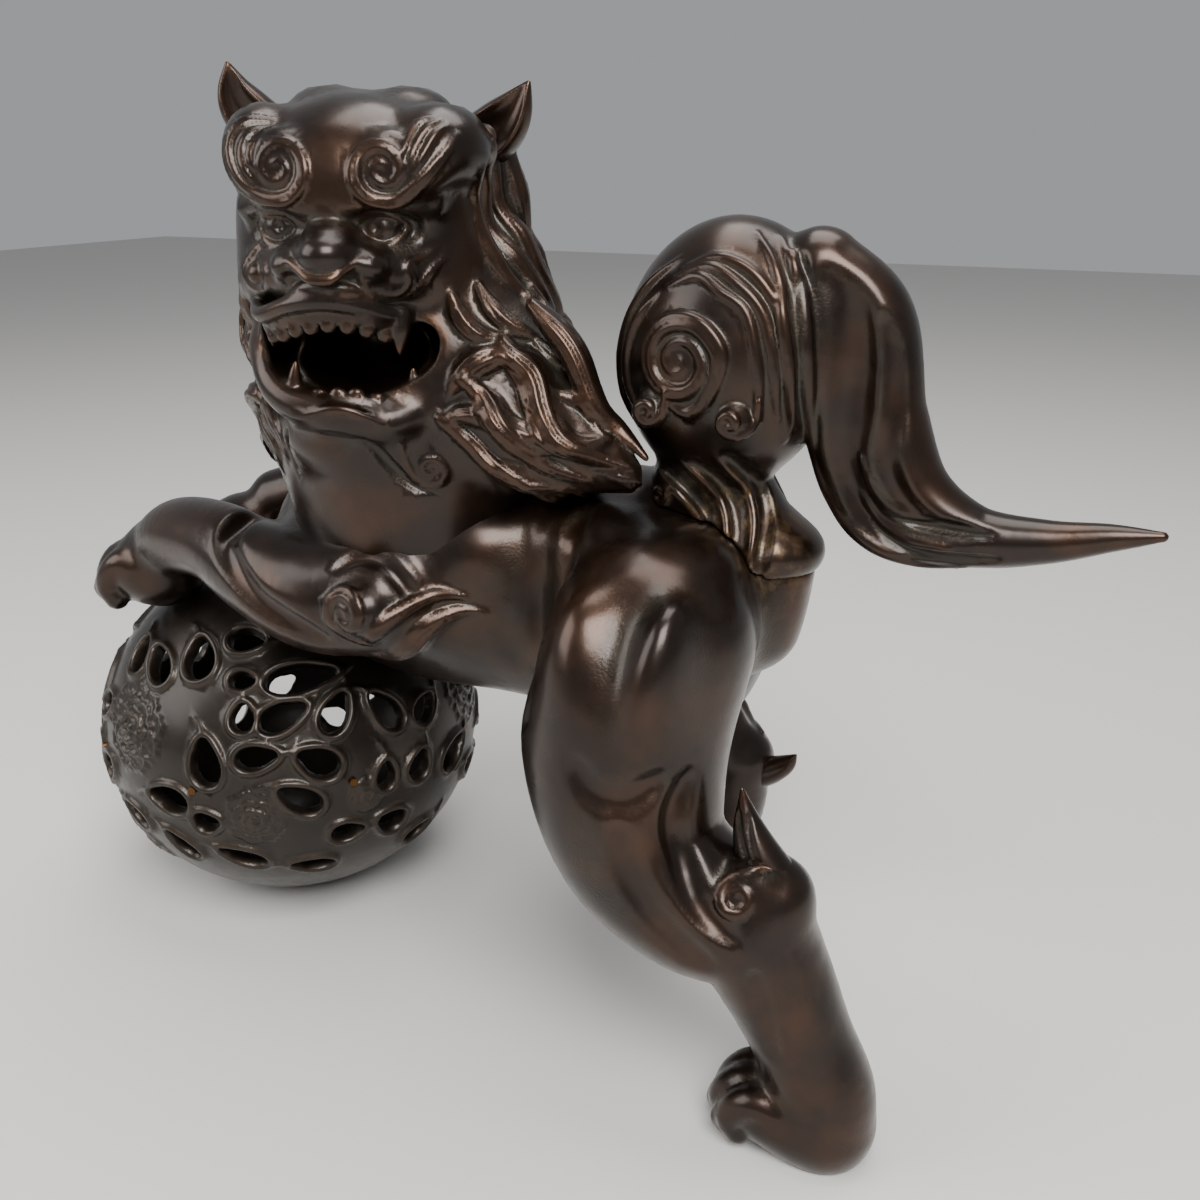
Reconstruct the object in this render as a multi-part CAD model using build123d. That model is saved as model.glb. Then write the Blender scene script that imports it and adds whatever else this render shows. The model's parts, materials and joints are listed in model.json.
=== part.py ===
from build123d import *
import math
import os

# Guardian lion (foo dog) with its forepaws on an openwork ball: hollow bronze castings that are fitted
# together. The lion walks towards -X, its left flank is on the -Y side, and its head is turned to -Y.
# Sizes are in millimetres. Places are written from the point where the ball stands on the ground, and
# every piece is moved by ORIGIN at export, which puts the origin under the middle of the bounding box.

# ---- driving dimensions ----

ORIGIN = (121.4, -2.0)
WALL = 4.0  # bronze wall of the castings
CORE_INSET = 6.0  # thicker wall of the limbs, tail and mane
FIT = 0.1  # gap between a fixed spigot and its bore
GAP = 0.3  # gap between the tail and everything that it lifts away from

BALL_CENTRE = (0.0, 8.0, 68.0)
BALL_RADII = (76.0, 76.0, 70.0)
LAP_HEIGHT = 7.0  # overlap of the two ball halves
OPENING_ROWS = ((-42, 8, 9.0, 6.0, 20), (-16, 10, 10.5, 6.5, 0), (16, 10, 10.5, 6.5, 18), (42, 8, 9.5, 6.5, 22))
FOOT_RADIUS = 17.0  # solid disc under the ball

TORSO_SECTIONS = (  # place along X, half width, half height, height of the middle
    (14, 9, 9, 156),
    (20, 24, 22, 155),
    (30, 36, 33, 153),
    (50, 46, 41, 152),
    (80, 50, 45, 152),
    (112, 46, 42, 151),
    (145, 45, 40, 150),
    (176, 50, 42, 150),
    (200, 43, 37, 150),
    (214, 31, 26, 150),
    (222, 14, 11, 150),
)
NECK_CENTRE = (78.0, -8.0)
COLLAR_RADIUS = 33.0
COLLAR_TOP = 212.0
HEAD_CENTRE = (74.0, -21.0, 258.0)
HEAD_TURN = 17.0  # degrees that the face turns from -Y towards +X
EAR_ROOT = (33.0, -3.0, 36.0)  # in the head's own frame, for the left ear

SHOULDER = (84.0, 46.0, 150.0)
LEFT_HIP = (190.0, 46.0, 152.0)
RIGHT_HIP = (172.0, 46.0, 150.0)
SPIGOT_RADIUS = 11.0
SPIGOT_REACH = 20.0  # how far a spigot goes into the torso
WEDGE_RADIUS = 2.5
WEDGE_LENGTH = 34.0
STUD_RADIUS = 3.0
RIVET_RADIUS = 2.0
PEG_RADIUS = 2.5

LEFT_FORELEG = (  # stations x, y, z, radius from the shoulder to the paw
    (84, -42, 152, 27),
    (62, -51, 147, 22),
    (38, -50, 152, 17.5),
    (16, -42, 157, 15.5),
    (-10, -33, 152, 16),
    (-30, -25, 141, 14.5),
)
RIGHT_FORELEG = (
    (78, 42, 154, 26),
    (54, 50, 151, 21),
    (26, 48, 154, 16.5),
    (2, 42, 156, 15),
    (-20, 35, 151, 15),
    (-34, 29, 142, 13.5),
)
LEFT_THIGH = ((184, -52, 132), (35, 27, 50), -12)  # centre, radii and tilt of the ellipsoid
RIGHT_THIGH = ((164, 50, 128), (32, 27, 47), 12)
LEFT_SHANK = (
    (186, -62, 92, 26),
    (198, -62, 76, 24),
    (217, -61, 64, 21),
    (231, -60, 48, 17),
    (239, -60, 28, 15.5),
    (241, -60, 12, 15.5),
)
RIGHT_SHANK = (
    (146, 54, 94, 25),
    (159, 57, 75, 22),
    (171, 58, 59, 18),
    (174, 57, 43, 15.5),
    (168, 56, 27, 14.5),
    (160, 56, 13, 14.5),
)
LEFT_FOOT = (241.0, -60.0)
RIGHT_FOOT = (156.0, 56.0)
PAW_RADII = (26.0, 18.0, 15.0)

MANE = ((82, -8, 178, 44), (82, -10, 205, 50), (80, -14, 235, 48), (78, -16, 262, 42))
MANE_TIP = ((104, -18, 226, 34), (126, -24, 212, 26), (146, -28, 203, 17), (163, -30, 197, 8))

TAIL_ROOT = (205.0, 0.0, 167.0)  # middle of the seat that the tail stands on
TAIL_LEAN = 10.0  # degrees from upright, towards the rear
TENON_RADIUS = 10.0
TENON_LENGTH = 28.0
SEAT_RADIUS = 22.0
TAIL_STEM = ((209, 0, 183, 18), (205, 0, 196, 22), (197, 0, 206, 27))
TAIL_PLUME = (
    (204, 0, 247, 23),
    (224, 0, 228, 24),
    (232, 0, 204, 23),
    (246, 0, 184, 17),
    (270, 0, 178, 11.5),
    (294, 0, 184, 7.5),
    (315, 0, 187, 4),
)
SWIRL = ((188, 0, 228), (34, 30, 43), 8)


def ellipsoid(centre, radii, tilt=0.0):
    """Ellipsoid with three radii, tilted about Y."""
    return Pos(*centre) * Rot(0, tilt, 0) * scale(Sphere(1), by=tuple(radii))


def rod(start, direction, length, radius):
    """Cylinder from start, along direction."""
    return extrude(Plane(origin=Vector(*start), z_dir=Vector(*direction)) * Circle(radius), amount=length)


def limb(stations, inset=0.0):
    """Round limb lofted through its stations, with domed ends; inset takes the same shape in, for the core."""
    points = [Vector(*station[:3]) for station in stations]
    radii = [station[3] - inset for station in stations]
    out_first = (points[0] - points[1]).normalized()
    out_last = (points[-1] - points[-2]).normalized()
    rings = []
    for out, size in ((0.88, 0.47), (0.55, 0.84)):
        rings.append((points[0] + out_first * radii[0] * out, radii[0] * size, -out_first))
    for i, (point, radius) in enumerate(zip(points, radii)):
        along = points[min(i + 1, len(points) - 1)] - points[max(i - 1, 0)]
        rings.append((point, radius, along.normalized()))
    for out, size in ((0.55, 0.84), (0.88, 0.47)):
        rings.append((points[-1] + out_last * radii[-1] * out, radii[-1] * size, out_last))
    circles = []
    for point, radius, along in rings:
        plane = Plane(origin=point, x_dir=Vector(0, 1, 0).cross(along), z_dir=along)
        circles.append(plane * Circle(radius))
    return loft(circles)


def toes(centre, heading, spread, size):
    """Four toe knuckles side by side across the front of a paw."""
    angle = math.radians(heading)
    forward = Vector(math.cos(angle), math.sin(angle), 0)
    across = Vector(-math.sin(angle), math.cos(angle), 0)
    knuckles = []
    for place in (-0.5, -1 / 6, 1 / 6, 0.5):
        at = Vector(*centre) + across * place * spread - forward * abs(place) * spread / 4
        knuckles.append(Pos(*at) * Sphere(size))
    return knuckles


def united(base, shapes):
    """The base with every shape joined to it."""
    for shape in shapes:
        base = base + shape
    return base


def cut(base, shapes):
    """The base with every shape taken out of it."""
    for shape in shapes:
        base = base - shape
    return base


def largest(shape):
    """The largest solid of a shape, without the slivers that a cut can leave."""
    return max(shape.solids(), key=lambda solid: solid.volume)


ground = Pos(120, 0, -100) * Box(800, 400, 200)

# ---- ball: two openwork half shells with a lapped rim ----


def ball_solid(inset=0.0):
    """The ball as a full ellipsoid, taken in by inset."""
    return ellipsoid(BALL_CENTRE, [radius - inset for radius in BALL_RADII])


def ball_openings():
    """Leaf-shaped radial cutters, in rows round the ball, that lean one way and the other in turn."""
    cutters = []
    for latitude, count, length, width, start in OPENING_ROWS:
        for i in range(count):
            lean = 25 if i % 2 else -25
            aim = Rot(0, 0, start + 360 * i / count) * Rot(0, -latitude, 0)
            leaf = Pos(BALL_RADII[2] - 12, 0, 0) * Rot(0, 90, 0) * Rot(0, 0, lean)
            cutters.append(Pos(*BALL_CENTRE) * aim * leaf * extrude(Ellipse(length, width), amount=30))
    return cutters


equator = BALL_CENTRE[2]
upper_space = Pos(0, 0, equator + 200) * Box(400, 400, 400)
lower_space = Pos(0, 0, equator - 200) * Box(400, 400, 400)
lap_slab = Pos(0, BALL_CENTRE[1], equator + LAP_HEIGHT / 2) * Box(200, 200, LAP_HEIGHT)
ball_full = ball_solid()
ball_skin = ball_full - ball_solid(WALL)
lap_tongue = (ball_solid(WALL / 2) - ball_solid(WALL)) & lap_slab
foot_disc = Pos(BALL_CENTRE[0], BALL_CENTRE[1], WALL / 2) * Cylinder(FOOT_RADIUS, WALL)
ball_upper_half = (ball_skin & upper_space) - lap_tongue
ball_lower_half = (ball_skin & lower_space) + lap_tongue - ground + foot_disc
openings = ball_openings()
ball_upper_half = cut(ball_upper_half, openings)
ball_lower_half = cut(ball_lower_half, openings)

# ---- torso: hollow barrel with a neck collar, four limb bores and the tail's socket ----


def torso_solid(inset=0.0):
    """Barrel of the body, lofted through upright ovals along X, taken in by inset."""
    middle = (TORSO_SECTIONS[0][0] + TORSO_SECTIONS[-1][0]) / 2
    half_length = (TORSO_SECTIONS[-1][0] - TORSO_SECTIONS[0][0]) / 2
    rings = []
    for x, half_width, half_height, height in TORSO_SECTIONS:
        place = middle + (x - middle) * (half_length - inset) / half_length
        oval = Ellipse(max(half_width - inset, 2), max(half_height - inset, 2))
        rings.append(Plane(origin=(place, 0, height), x_dir=(0, 1, 0), z_dir=(1, 0, 0)) * oval)
    return loft(rings) - ball_solid(-inset)


tilt = math.radians(TAIL_LEAN)
tail_up = (math.sin(tilt), 0, math.cos(tilt))
tail_down = tuple(-part for part in tail_up)
boss_length = TENON_LENGTH + 2 * WALL
collar_height = COLLAR_TOP - SHOULDER[2]
collar_middle = (*NECK_CENTRE, SHOULDER[2] + collar_height / 2)

barrel = torso_solid()
barrel_core = torso_solid(WALL)
collar = Pos(*collar_middle) * Cylinder(COLLAR_RADIUS, collar_height)
collar_bore = Pos(*collar_middle) * Cylinder(COLLAR_RADIUS - WALL, collar_height + 2)
body_outside = barrel + collar
boss = rod(TAIL_ROOT, tail_down, boss_length, TENON_RADIUS + 2 * WALL) & barrel
seat_pocket = rod(TAIL_ROOT, tail_up, 60, SEAT_RADIUS + 1)
tenon_bore = rod(TAIL_ROOT, tail_down, TENON_LENGTH + 2, TENON_RADIUS + FIT)
torso = (barrel - barrel_core) + (collar - barrel_core) - collar_bore
torso = torso + boss - seat_pocket - tenon_bore

# ---- limbs ----


def fit_limb(leg, core, hip, side):
    """Joins a tubular spigot to a limb; returns the limb, the torso's bore for it and its wedge pin."""
    x, y, z = hip
    core = core - torso_solid(-CORE_INSET)
    inner = y - SPIGOT_REACH
    spigot = rod((x, side * (y + 8), z), (0, -side, 0), SPIGOT_REACH + 8, SPIGOT_RADIUS)
    vent = rod((x, side * (y + 13), z), (0, -side, 0), SPIGOT_REACH + 15, SPIGOT_RADIUS - WALL)
    torso_bore = rod((x, side * (y + 30), z), (0, -side, 0), 30 + SPIGOT_REACH, SPIGOT_RADIUS + FIT)
    wedge_start = (x, side * (inner + 4.5), z - WEDGE_LENGTH / 2)
    wedge = rod(wedge_start, (0, 0, 1), WEDGE_LENGTH, WEDGE_RADIUS)
    leg = leg - core - body_outside + spigot - core - vent - wedge
    return largest(leg), torso_bore, wedge


def foreleg(stations, knuckle_centre, heading):
    """Foreleg with its paw, hollowed down to the ball's surface."""
    leg = united(limb(stations), toes(knuckle_centre, heading, 22, 6.5))
    return leg - ball_full, limb(stations[:-1], CORE_INSET)


def hind_leg(thigh, shank, foot):
    """Thigh, shank and paw of one hind leg, with its sole flat on the ground, and its core."""
    centre, radii, lean = thigh
    paw = ellipsoid((foot[0] - 6, foot[1], 13), PAW_RADII)
    leg = ellipsoid(centre, radii, lean) + limb(shank) + paw
    leg = united(leg, toes((foot[0] - 24, foot[1], 9), 180, 24, 7.5))
    core = ellipsoid(centre, [radius - CORE_INSET for radius in radii], lean) + limb(shank[:-1], CORE_INSET)
    return leg - ground, core


left_foreleg, left_foreleg_core = foreleg(LEFT_FORELEG, (-41, -19, 134), 160)
right_foreleg, right_foreleg_core = foreleg(RIGHT_FORELEG, (-44, 25, 134), 195)
left_hind_leg, left_hind_core = hind_leg(LEFT_THIGH, LEFT_SHANK, LEFT_FOOT)
right_hind_leg, right_hind_core = hind_leg(RIGHT_THIGH, RIGHT_SHANK, RIGHT_FOOT)

left_foreleg, left_shoulder_bore, left_shoulder_wedge = fit_limb(left_foreleg, left_foreleg_core, SHOULDER, -1)
right_foreleg, right_shoulder_bore, right_shoulder_wedge = fit_limb(
    right_foreleg, right_foreleg_core, SHOULDER, 1
)
left_hind_leg, left_hip_bore, left_hip_wedge = fit_limb(left_hind_leg, left_hind_core, LEFT_HIP, -1)
right_hind_leg, right_hip_bore, right_hip_wedge = fit_limb(right_hind_leg, right_hind_core, RIGHT_HIP, 1)
torso = cut(torso, (left_shoulder_bore, right_shoulder_bore, left_hip_bore, right_hip_bore))

# ---- hock flames, pegged into the hind legs ----


def hock_flame(tip, base, leg):
    """Curved horn of flame with a peg; returns the flame and the leg with the peg's hole."""
    root = Vector(*base)
    point = Vector(*tip)
    middle = (root + point) / 2 + Vector(3, 0, 0)
    rings = (
        Plane(origin=root, z_dir=middle - root) * Ellipse(10, 7),
        Plane(origin=middle, z_dir=point - root) * Ellipse(7, 4.5),
        Plane(origin=point, z_dir=point - middle) * Ellipse(1.2, 1.0),
    )
    inward = (root - middle).normalized()
    peg = rod(middle, inward, (root - middle).length + 9, PEG_RADIUS)
    return largest(loft(rings) - leg) + peg, leg - peg


left_hock_flame, left_hind_leg = hock_flame((214, -57, 112), (225, -60, 84), left_hind_leg)
right_hock_flame, right_hind_leg = hock_flame((200, 56, 70), (182, 57, 54), right_hind_leg)

# ---- studs that hold the forepaws on the ball ----


def paw_fixing(paw):
    """Stud, washer, nut and solid land on the line from the ball's centre to a paw."""
    centre = Vector(*BALL_CENTRE)
    away = Vector(*paw[:3]) - centre
    out = away.normalized()
    spread = math.sqrt(sum((part / radius) ** 2 for part, radius in zip(out, BALL_RADII)))
    skin = 1 / spread  # distance from the ball's centre to its surface
    stud = rod(centre + out * (skin - 15), out, 24, STUD_RADIUS)
    inside = skin - WALL - 2
    washer = rod(centre + out * (inside - 1.6), out, 1.6, 8) - stud
    under = Plane(origin=centre + out * (inside - 6.6), z_dir=out)
    nut = extrude(under * RegularPolygon(6, 6), amount=5) - stud
    land = rod(centre + out * inside, out, WALL + 8, 11) & ball_full
    return stud, washer, nut, land


left_stud, left_washer, left_nut, left_land = paw_fixing(LEFT_FORELEG[-1])
right_stud, right_washer, right_nut, right_land = paw_fixing(RIGHT_FORELEG[-1])
ball_upper_half = cut(ball_upper_half + left_land + right_land, (left_stud, right_stud))
left_foreleg = largest(left_foreleg - left_stud)
right_foreleg = largest(right_foreleg - right_stud)

# ---- head, neck and mane: one hollow casting that slips over the collar ----

head_place = Pos(*HEAD_CENTRE) * Rot(0, 0, HEAD_TURN)


def both_sides(make):
    """The right and the left copy of a feature of the face."""
    return [make(-1), make(1)]


mane = limb(MANE) + limb(MANE_TIP)
for i in range(9):  # locks that hang round the neck
    turn = math.radians(-40 + 32 * i)
    place = (84 + 42 * math.cos(turn), -10 + 40 * math.sin(turn), 202)
    mane = mane + ellipsoid(place, (12, 12, 24))
face = [
    ellipsoid((0, 2, 4), (42, 46, 43)),
    ellipsoid((0, -36, -2), (29, 22, 14)),
    ellipsoid((0, -52, 3), (12, 9, 7)),
    ellipsoid((0, -28, -48), (24, 23, 14)),
    ellipsoid((0, -24, -60), (18, 17, 12)),
    *both_sides(lambda side: ellipsoid((side * 17, -36, 25), (16, 11, 12))),
    *both_sides(lambda side: ellipsoid((side * 12, -40, 10), (6, 5, 5))),
    *both_sides(lambda side: ellipsoid((side * 22, -36, -3), (9, 8, 8))),
]
head = united(mane, [head_place * feature for feature in face])
mouth = head_place * Pos(0, -38, -27) * Rot(90, 0, 0) * extrude(Ellipse(20, 9.5), amount=45, both=True)
skull_core = head_place * ellipsoid((0, 4, 4), (36, 38, 36))
throat_core = limb(MANE, CORE_INSET)
collar_slip = Pos(*NECK_CENTRE, 178) * Cylinder(COLLAR_RADIUS + FIT, 2 * (COLLAR_TOP + 2 - 178))
head = head - mouth - skull_core - throat_core
details = [
    *both_sides(lambda side: Pos(side * 16, -46, -20) * Rot(180, 0, 0) * Cone(4.5, 0.8, 14)),
    *both_sides(lambda side: Pos(side * 13, -44, -36) * Cone(3.5, 0.8, 10)),
    *both_sides(lambda side: Pos(side * 16, -46, 25) * Rot(90, 0, 0) * Torus(7.5, 2.5)),
]
head = united(head, [head_place * detail for detail in details])
neck_band = Pos(*NECK_CENTRE, 205) * (Cylinder(COLLAR_RADIUS + 12, 14) - Cylinder(COLLAR_RADIUS + FIT, 14))
head = head + neck_band - body_outside - collar_slip
head = head - limb(LEFT_FORELEG) - limb(RIGHT_FORELEG)


def ear(side, rise):
    """Pointed leaf ear and the peg that goes into the skull, in the head's own frame."""
    root = Vector(side * EAR_ROOT[0], EAR_ROOT[1], EAR_ROOT[2])
    middle = root + Vector(side * 10, 0, 6 + rise / 2)
    tip = root + Vector(side * 15, 0, 17 + rise)
    rings = (
        Plane(origin=root, x_dir=(0, 1, 0), z_dir=middle - root) * Ellipse(8, 11),
        Plane(origin=middle, x_dir=(0, 1, 0), z_dir=tip - root) * Ellipse(6, 8),
        Plane(origin=tip, x_dir=(0, 1, 0), z_dir=tip - middle) * Ellipse(1.0, 1.4),
    )
    inward = (root - middle).normalized()
    return head_place * loft(rings), head_place * rod(root - inward * 3, inward, 12, STUD_RADIUS)


right_leaf, right_ear_peg = ear(-1, 3)
left_leaf, left_ear_peg = ear(1, 0)
right_ear = (right_leaf - head - skull_core) + right_ear_peg
left_ear = (left_leaf - head - skull_core) + left_ear_peg
head = head - right_ear_peg - left_ear_peg

# ---- rivets of the neck and of the ball ----


def rivet_ring(centre, height, count, start, inner, outer, radius):
    """Radial rivets round an upright axis, from the inner to the outer radius."""
    rivets = []
    for i in range(count):
        turn = math.radians(start + 360 * i / count)
        out = (math.cos(turn), math.sin(turn), 0)
        base = (centre[0] + inner * out[0], centre[1] + inner * out[1], height)
        rivets.append(rod(base, out, outer - inner, radius))
    return rivets


neck_rivets = rivet_ring(NECK_CENTRE, 205, 6, 30, COLLAR_RADIUS - WALL - 1, COLLAR_RADIUS + 7, RIVET_RADIUS)
ball_rivets = rivet_ring(
    BALL_CENTRE, equator + LAP_HEIGHT / 2, 8, 9, BALL_RADII[0] - WALL - 1.2, BALL_RADII[0] - 0.6, 1.5
)
torso = cut(torso, neck_rivets)
head = cut(head, neck_rivets)
ball_upper_half = cut(ball_upper_half, ball_rivets)
ball_lower_half = cut(ball_lower_half, ball_rivets)

# ---- tail: swirl and plume on a tenon that lifts out of the rump ----

root = Vector(*TAIL_ROOT)
up = Vector(*tail_up)
swirl_centre, swirl_radii, swirl_lean = SWIRL
seat_disc = rod(root + up * GAP, up, 18, SEAT_RADIUS)
swirl = ellipsoid(swirl_centre, swirl_radii, swirl_lean)
swirl_core = ellipsoid(swirl_centre, [radius - CORE_INSET for radius in swirl_radii], swirl_lean)
tail = (swirl + limb(TAIL_STEM) + limb(TAIL_PLUME)) - torso_solid(-2 * GAP) + seat_disc
tenon = rod(root + up * (GAP + 4), tail_down, TENON_LENGTH + 4, TENON_RADIUS)
tail_vent = rod(root + up * 60, tail_down, 60 + TENON_LENGTH + 1, TENON_RADIUS - WALL)
tail = tail + tenon - swirl_core - limb(TAIL_PLUME[1:5], CORE_INSET) - tail_vent

# ---- export ----

parts = {
    "torso": torso,
    "head": head,
    "left_ear": left_ear,
    "right_ear": right_ear,
    "left_foreleg": left_foreleg,
    "right_foreleg": right_foreleg,
    "left_hind_leg": left_hind_leg,
    "right_hind_leg": right_hind_leg,
    "left_hock_flame": left_hock_flame,
    "right_hock_flame": right_hock_flame,
    "tail": tail,
    "ball_upper_half": ball_upper_half,
    "ball_lower_half": ball_lower_half,
    "left_paw_stud": left_stud,
    "right_paw_stud": right_stud,
    "left_paw_washer": left_washer,
    "right_paw_washer": right_washer,
    "left_paw_nut": left_nut,
    "right_paw_nut": right_nut,
    "left_shoulder_wedge": left_shoulder_wedge,
    "right_shoulder_wedge": right_shoulder_wedge,
    "left_hip_wedge": left_hip_wedge,
    "right_hip_wedge": right_hip_wedge,
    "neck_rivets": Compound(neck_rivets),
    "ball_rivets": Compound(ball_rivets),
}

os.makedirs("parts", exist_ok=True)
to_origin = Pos(-ORIGIN[0], -ORIGIN[1], 0)
for name, shape in parts.items():
    export_step(to_origin * shape, f"parts/{name}.step")
    print(name, len(shape.solids()), "solids,", round(shape.volume), "cubic mm")
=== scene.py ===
import json
import logging
import math
from dataclasses import dataclass, field
from enum import Enum
from typing import Iterable, Sequence

import bpy
import numpy as np
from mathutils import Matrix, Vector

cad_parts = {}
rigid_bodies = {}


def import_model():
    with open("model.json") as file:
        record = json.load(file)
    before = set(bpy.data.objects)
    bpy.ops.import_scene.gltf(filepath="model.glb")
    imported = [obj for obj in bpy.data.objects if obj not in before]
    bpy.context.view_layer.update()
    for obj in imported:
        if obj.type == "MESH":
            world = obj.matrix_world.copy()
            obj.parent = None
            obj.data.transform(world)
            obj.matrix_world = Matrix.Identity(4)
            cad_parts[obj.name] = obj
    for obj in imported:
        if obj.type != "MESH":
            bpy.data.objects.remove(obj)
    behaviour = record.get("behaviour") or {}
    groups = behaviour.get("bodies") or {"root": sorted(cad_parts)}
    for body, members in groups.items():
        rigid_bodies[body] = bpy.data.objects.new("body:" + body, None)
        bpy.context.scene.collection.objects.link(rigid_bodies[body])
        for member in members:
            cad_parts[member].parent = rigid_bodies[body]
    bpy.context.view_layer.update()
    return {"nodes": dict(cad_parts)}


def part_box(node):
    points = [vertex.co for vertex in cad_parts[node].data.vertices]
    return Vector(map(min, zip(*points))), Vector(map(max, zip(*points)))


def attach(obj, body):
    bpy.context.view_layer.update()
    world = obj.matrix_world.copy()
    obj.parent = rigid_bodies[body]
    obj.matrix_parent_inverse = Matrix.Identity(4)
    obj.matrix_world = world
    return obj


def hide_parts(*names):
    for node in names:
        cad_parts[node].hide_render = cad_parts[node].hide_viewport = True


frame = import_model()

import openvdb

# Guardian lion on an openwork ball. Every casting is sculpted as clay: a signed distance field in
# millimetres on a grid, built up from eggs, tapered tubes and tresses of hair, and then skinned. Places
# are written from the point where the ball stands on the ground, with -X to the lion's front, -Y to its
# left flank and +Z up; FOOT takes them to the frame.

LOG = logging.getLogger("guardian_lion")
MM = 0.001
FAR = 30.0  # distance, in millimetres, that stands for empty space
BOARD_AWAY = 120.0  # how far a flat drawing board stands before the clay
DRUM_AWAY = 100.0  # how far a drawing drum's rays start from its axis
LEAF_END = 225.0  # x up to which the tail's leaf lies over the rump; the plume hangs free behind it
SEAT_HEADROOM = 24.0  # height that is cleared above the tail's seat
# how freely flat places are skinned with big faces
THINNING = 0.03
HEAD_THINNING = 0.12
BALL_THINNING = 0.1

Array = np.ndarray
Point = Sequence[float]


def ball_foot() -> Array:
    """Point on the ground under the ball's middle, in the frame's metres.

    Returns:
        The point.
    """
    low, high = (np.array(corner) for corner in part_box("ball_lower_half"))
    middle = (low + high) / 2
    return np.array([middle[0], middle[1] - 8 * MM, 0.0])


FOOT = ball_foot()
SEAT = np.array([205.0, 0.0, 167.0])  # middle of the tail's seat on the rump
SEAT_UP = np.array([math.sin(math.radians(10)), 0.0, math.cos(math.radians(10))])
TENON = 9.8  # radius of the tail's tenon
BALL_CENTRE = np.array([0.0, 8.0, 68.0])
BALL_RADII = np.array([75.6, 75.6, 69.6])
BALL_SKIN = BALL_RADII - 1.6  # ground of the ball's relief, which rises to the full radii


class Side(Enum):
    """Flank of the lion; the value is the sign of y."""

    LEFT = -1
    RIGHT = 1


# ---------------------------------------------------------------- clay


def soft_min(first: Array, second: Array, blend: float) -> Array:
    """Smaller of two fields with a fillet.

    It is min(a, b) - h * h * blend / 4, with h = max(1 - |a - b| / blend, 0).

    Args:
        first: one field.
        second: the other field.
        blend: width of the fillet in millimetres, 0 for a sharp corner.

    Returns:
        The blended field.
    """
    if blend <= 0:
        return np.minimum(first, second)
    overlap = np.maximum(1 - np.abs(first - second) / blend, 0)
    return np.minimum(first, second) - overlap * overlap * (blend / 4)


def spline(points: Iterable[Point], step: float) -> Array:
    """Catmull-Rom curve through the points, with samples about one step apart.

    Args:
        points: control points, each of any length; all their numbers are interpolated alike.
        step: distance between samples, measured over the first coordinates of the points.

    Returns:
        The samples, one row each.
    """
    ctrl = np.asarray(list(points), float)
    ends = np.vstack([2 * ctrl[0] - ctrl[1], ctrl, 2 * ctrl[-1] - ctrl[-2]])
    rows = []
    for before, start, end, after in zip(ends, ends[1:], ends[2:], ends[3:]):
        width = min(3, ctrl.shape[1])
        count = max(2, int(np.linalg.norm((end - start)[:width]) / step))
        t = np.linspace(0, 1, count, endpoint=False)[:, None]
        rows.append(
            0.5 * (2 * start + (end - before) * t + (2 * before - 5 * start + 4 * end - after) * t**2
                   + (3 * start - before - 3 * end + after) * t**3)
        )
    rows.append(ctrl[-1:])
    return np.vstack(rows)


def turned(yaw: float = 0, pitch: float = 0, roll: float = 0) -> Array:
    """Rows are the turned axes: roll about X, then pitch about Y, then yaw about Z, all in degrees.

    Args:
        yaw: turn about Z, in degrees.
        pitch: turn about Y, in degrees.
        roll: turn about X, in degrees.

    Returns:
        The three axes, one row each.
    """
    y, p, r = (math.radians(angle) for angle in (yaw, pitch, roll))
    about_z = np.array([[math.cos(y), -math.sin(y), 0], [math.sin(y), math.cos(y), 0], [0, 0, 1]])
    about_y = np.array([[math.cos(p), 0, math.sin(p)], [0, 1, 0], [-math.sin(p), 0, math.cos(p)]])
    about_x = np.array([[1, 0, 0], [0, math.cos(r), -math.sin(r)], [0, math.sin(r), math.cos(r)]])
    return (about_z @ about_y @ about_x).T


@dataclass
class Egg:
    """Ellipsoid: with q = p / r and s = p / r^2, its distance is close to |q| (|q| - 1) / |s|."""

    centre: Point
    radii: Point
    axes: Array = field(default_factory=lambda: np.eye(3))

    def box(self) -> tuple[Array, Array]:
        """Lowest and highest corner."""
        reach = np.sqrt(((np.asarray(self.axes) * np.asarray(self.radii)[:, None]) ** 2).sum(axis=0))
        return np.asarray(self.centre) - reach, np.asarray(self.centre) + reach

    def distance(self, x: Array, y: Array, z: Array) -> Array:
        """Distance of every grid point to the surface, negative inside.

        Args:
            x: x of the grid points.
            y: y of the grid points.
            z: z of the grid points.

        Returns:
            The distances.
        """
        dx, dy, dz = x - self.centre[0], y - self.centre[1], z - self.centre[2]
        near = far = 0.0
        for axis, radius in zip(self.axes, self.radii):
            along = (dx * axis[0] + dy * axis[1] + dz * axis[2]) / radius
            near = near + along * along
            far = far + (along / radius) ** 2
        near = np.sqrt(near)
        return (near * (near - 1) / (np.sqrt(far) + 1e-6)).astype(np.float32)


@dataclass
class Tube:
    """Chain of balls joined by cones: the least of |p - c(t)| - r(t) over its straight runs."""

    points: Array
    radii: Array

    def box(self) -> tuple[Array, Array]:
        """Lowest and highest corner."""
        return self.points.min(axis=0) - self.radii.max(), self.points.max(axis=0) + self.radii.max()


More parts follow.
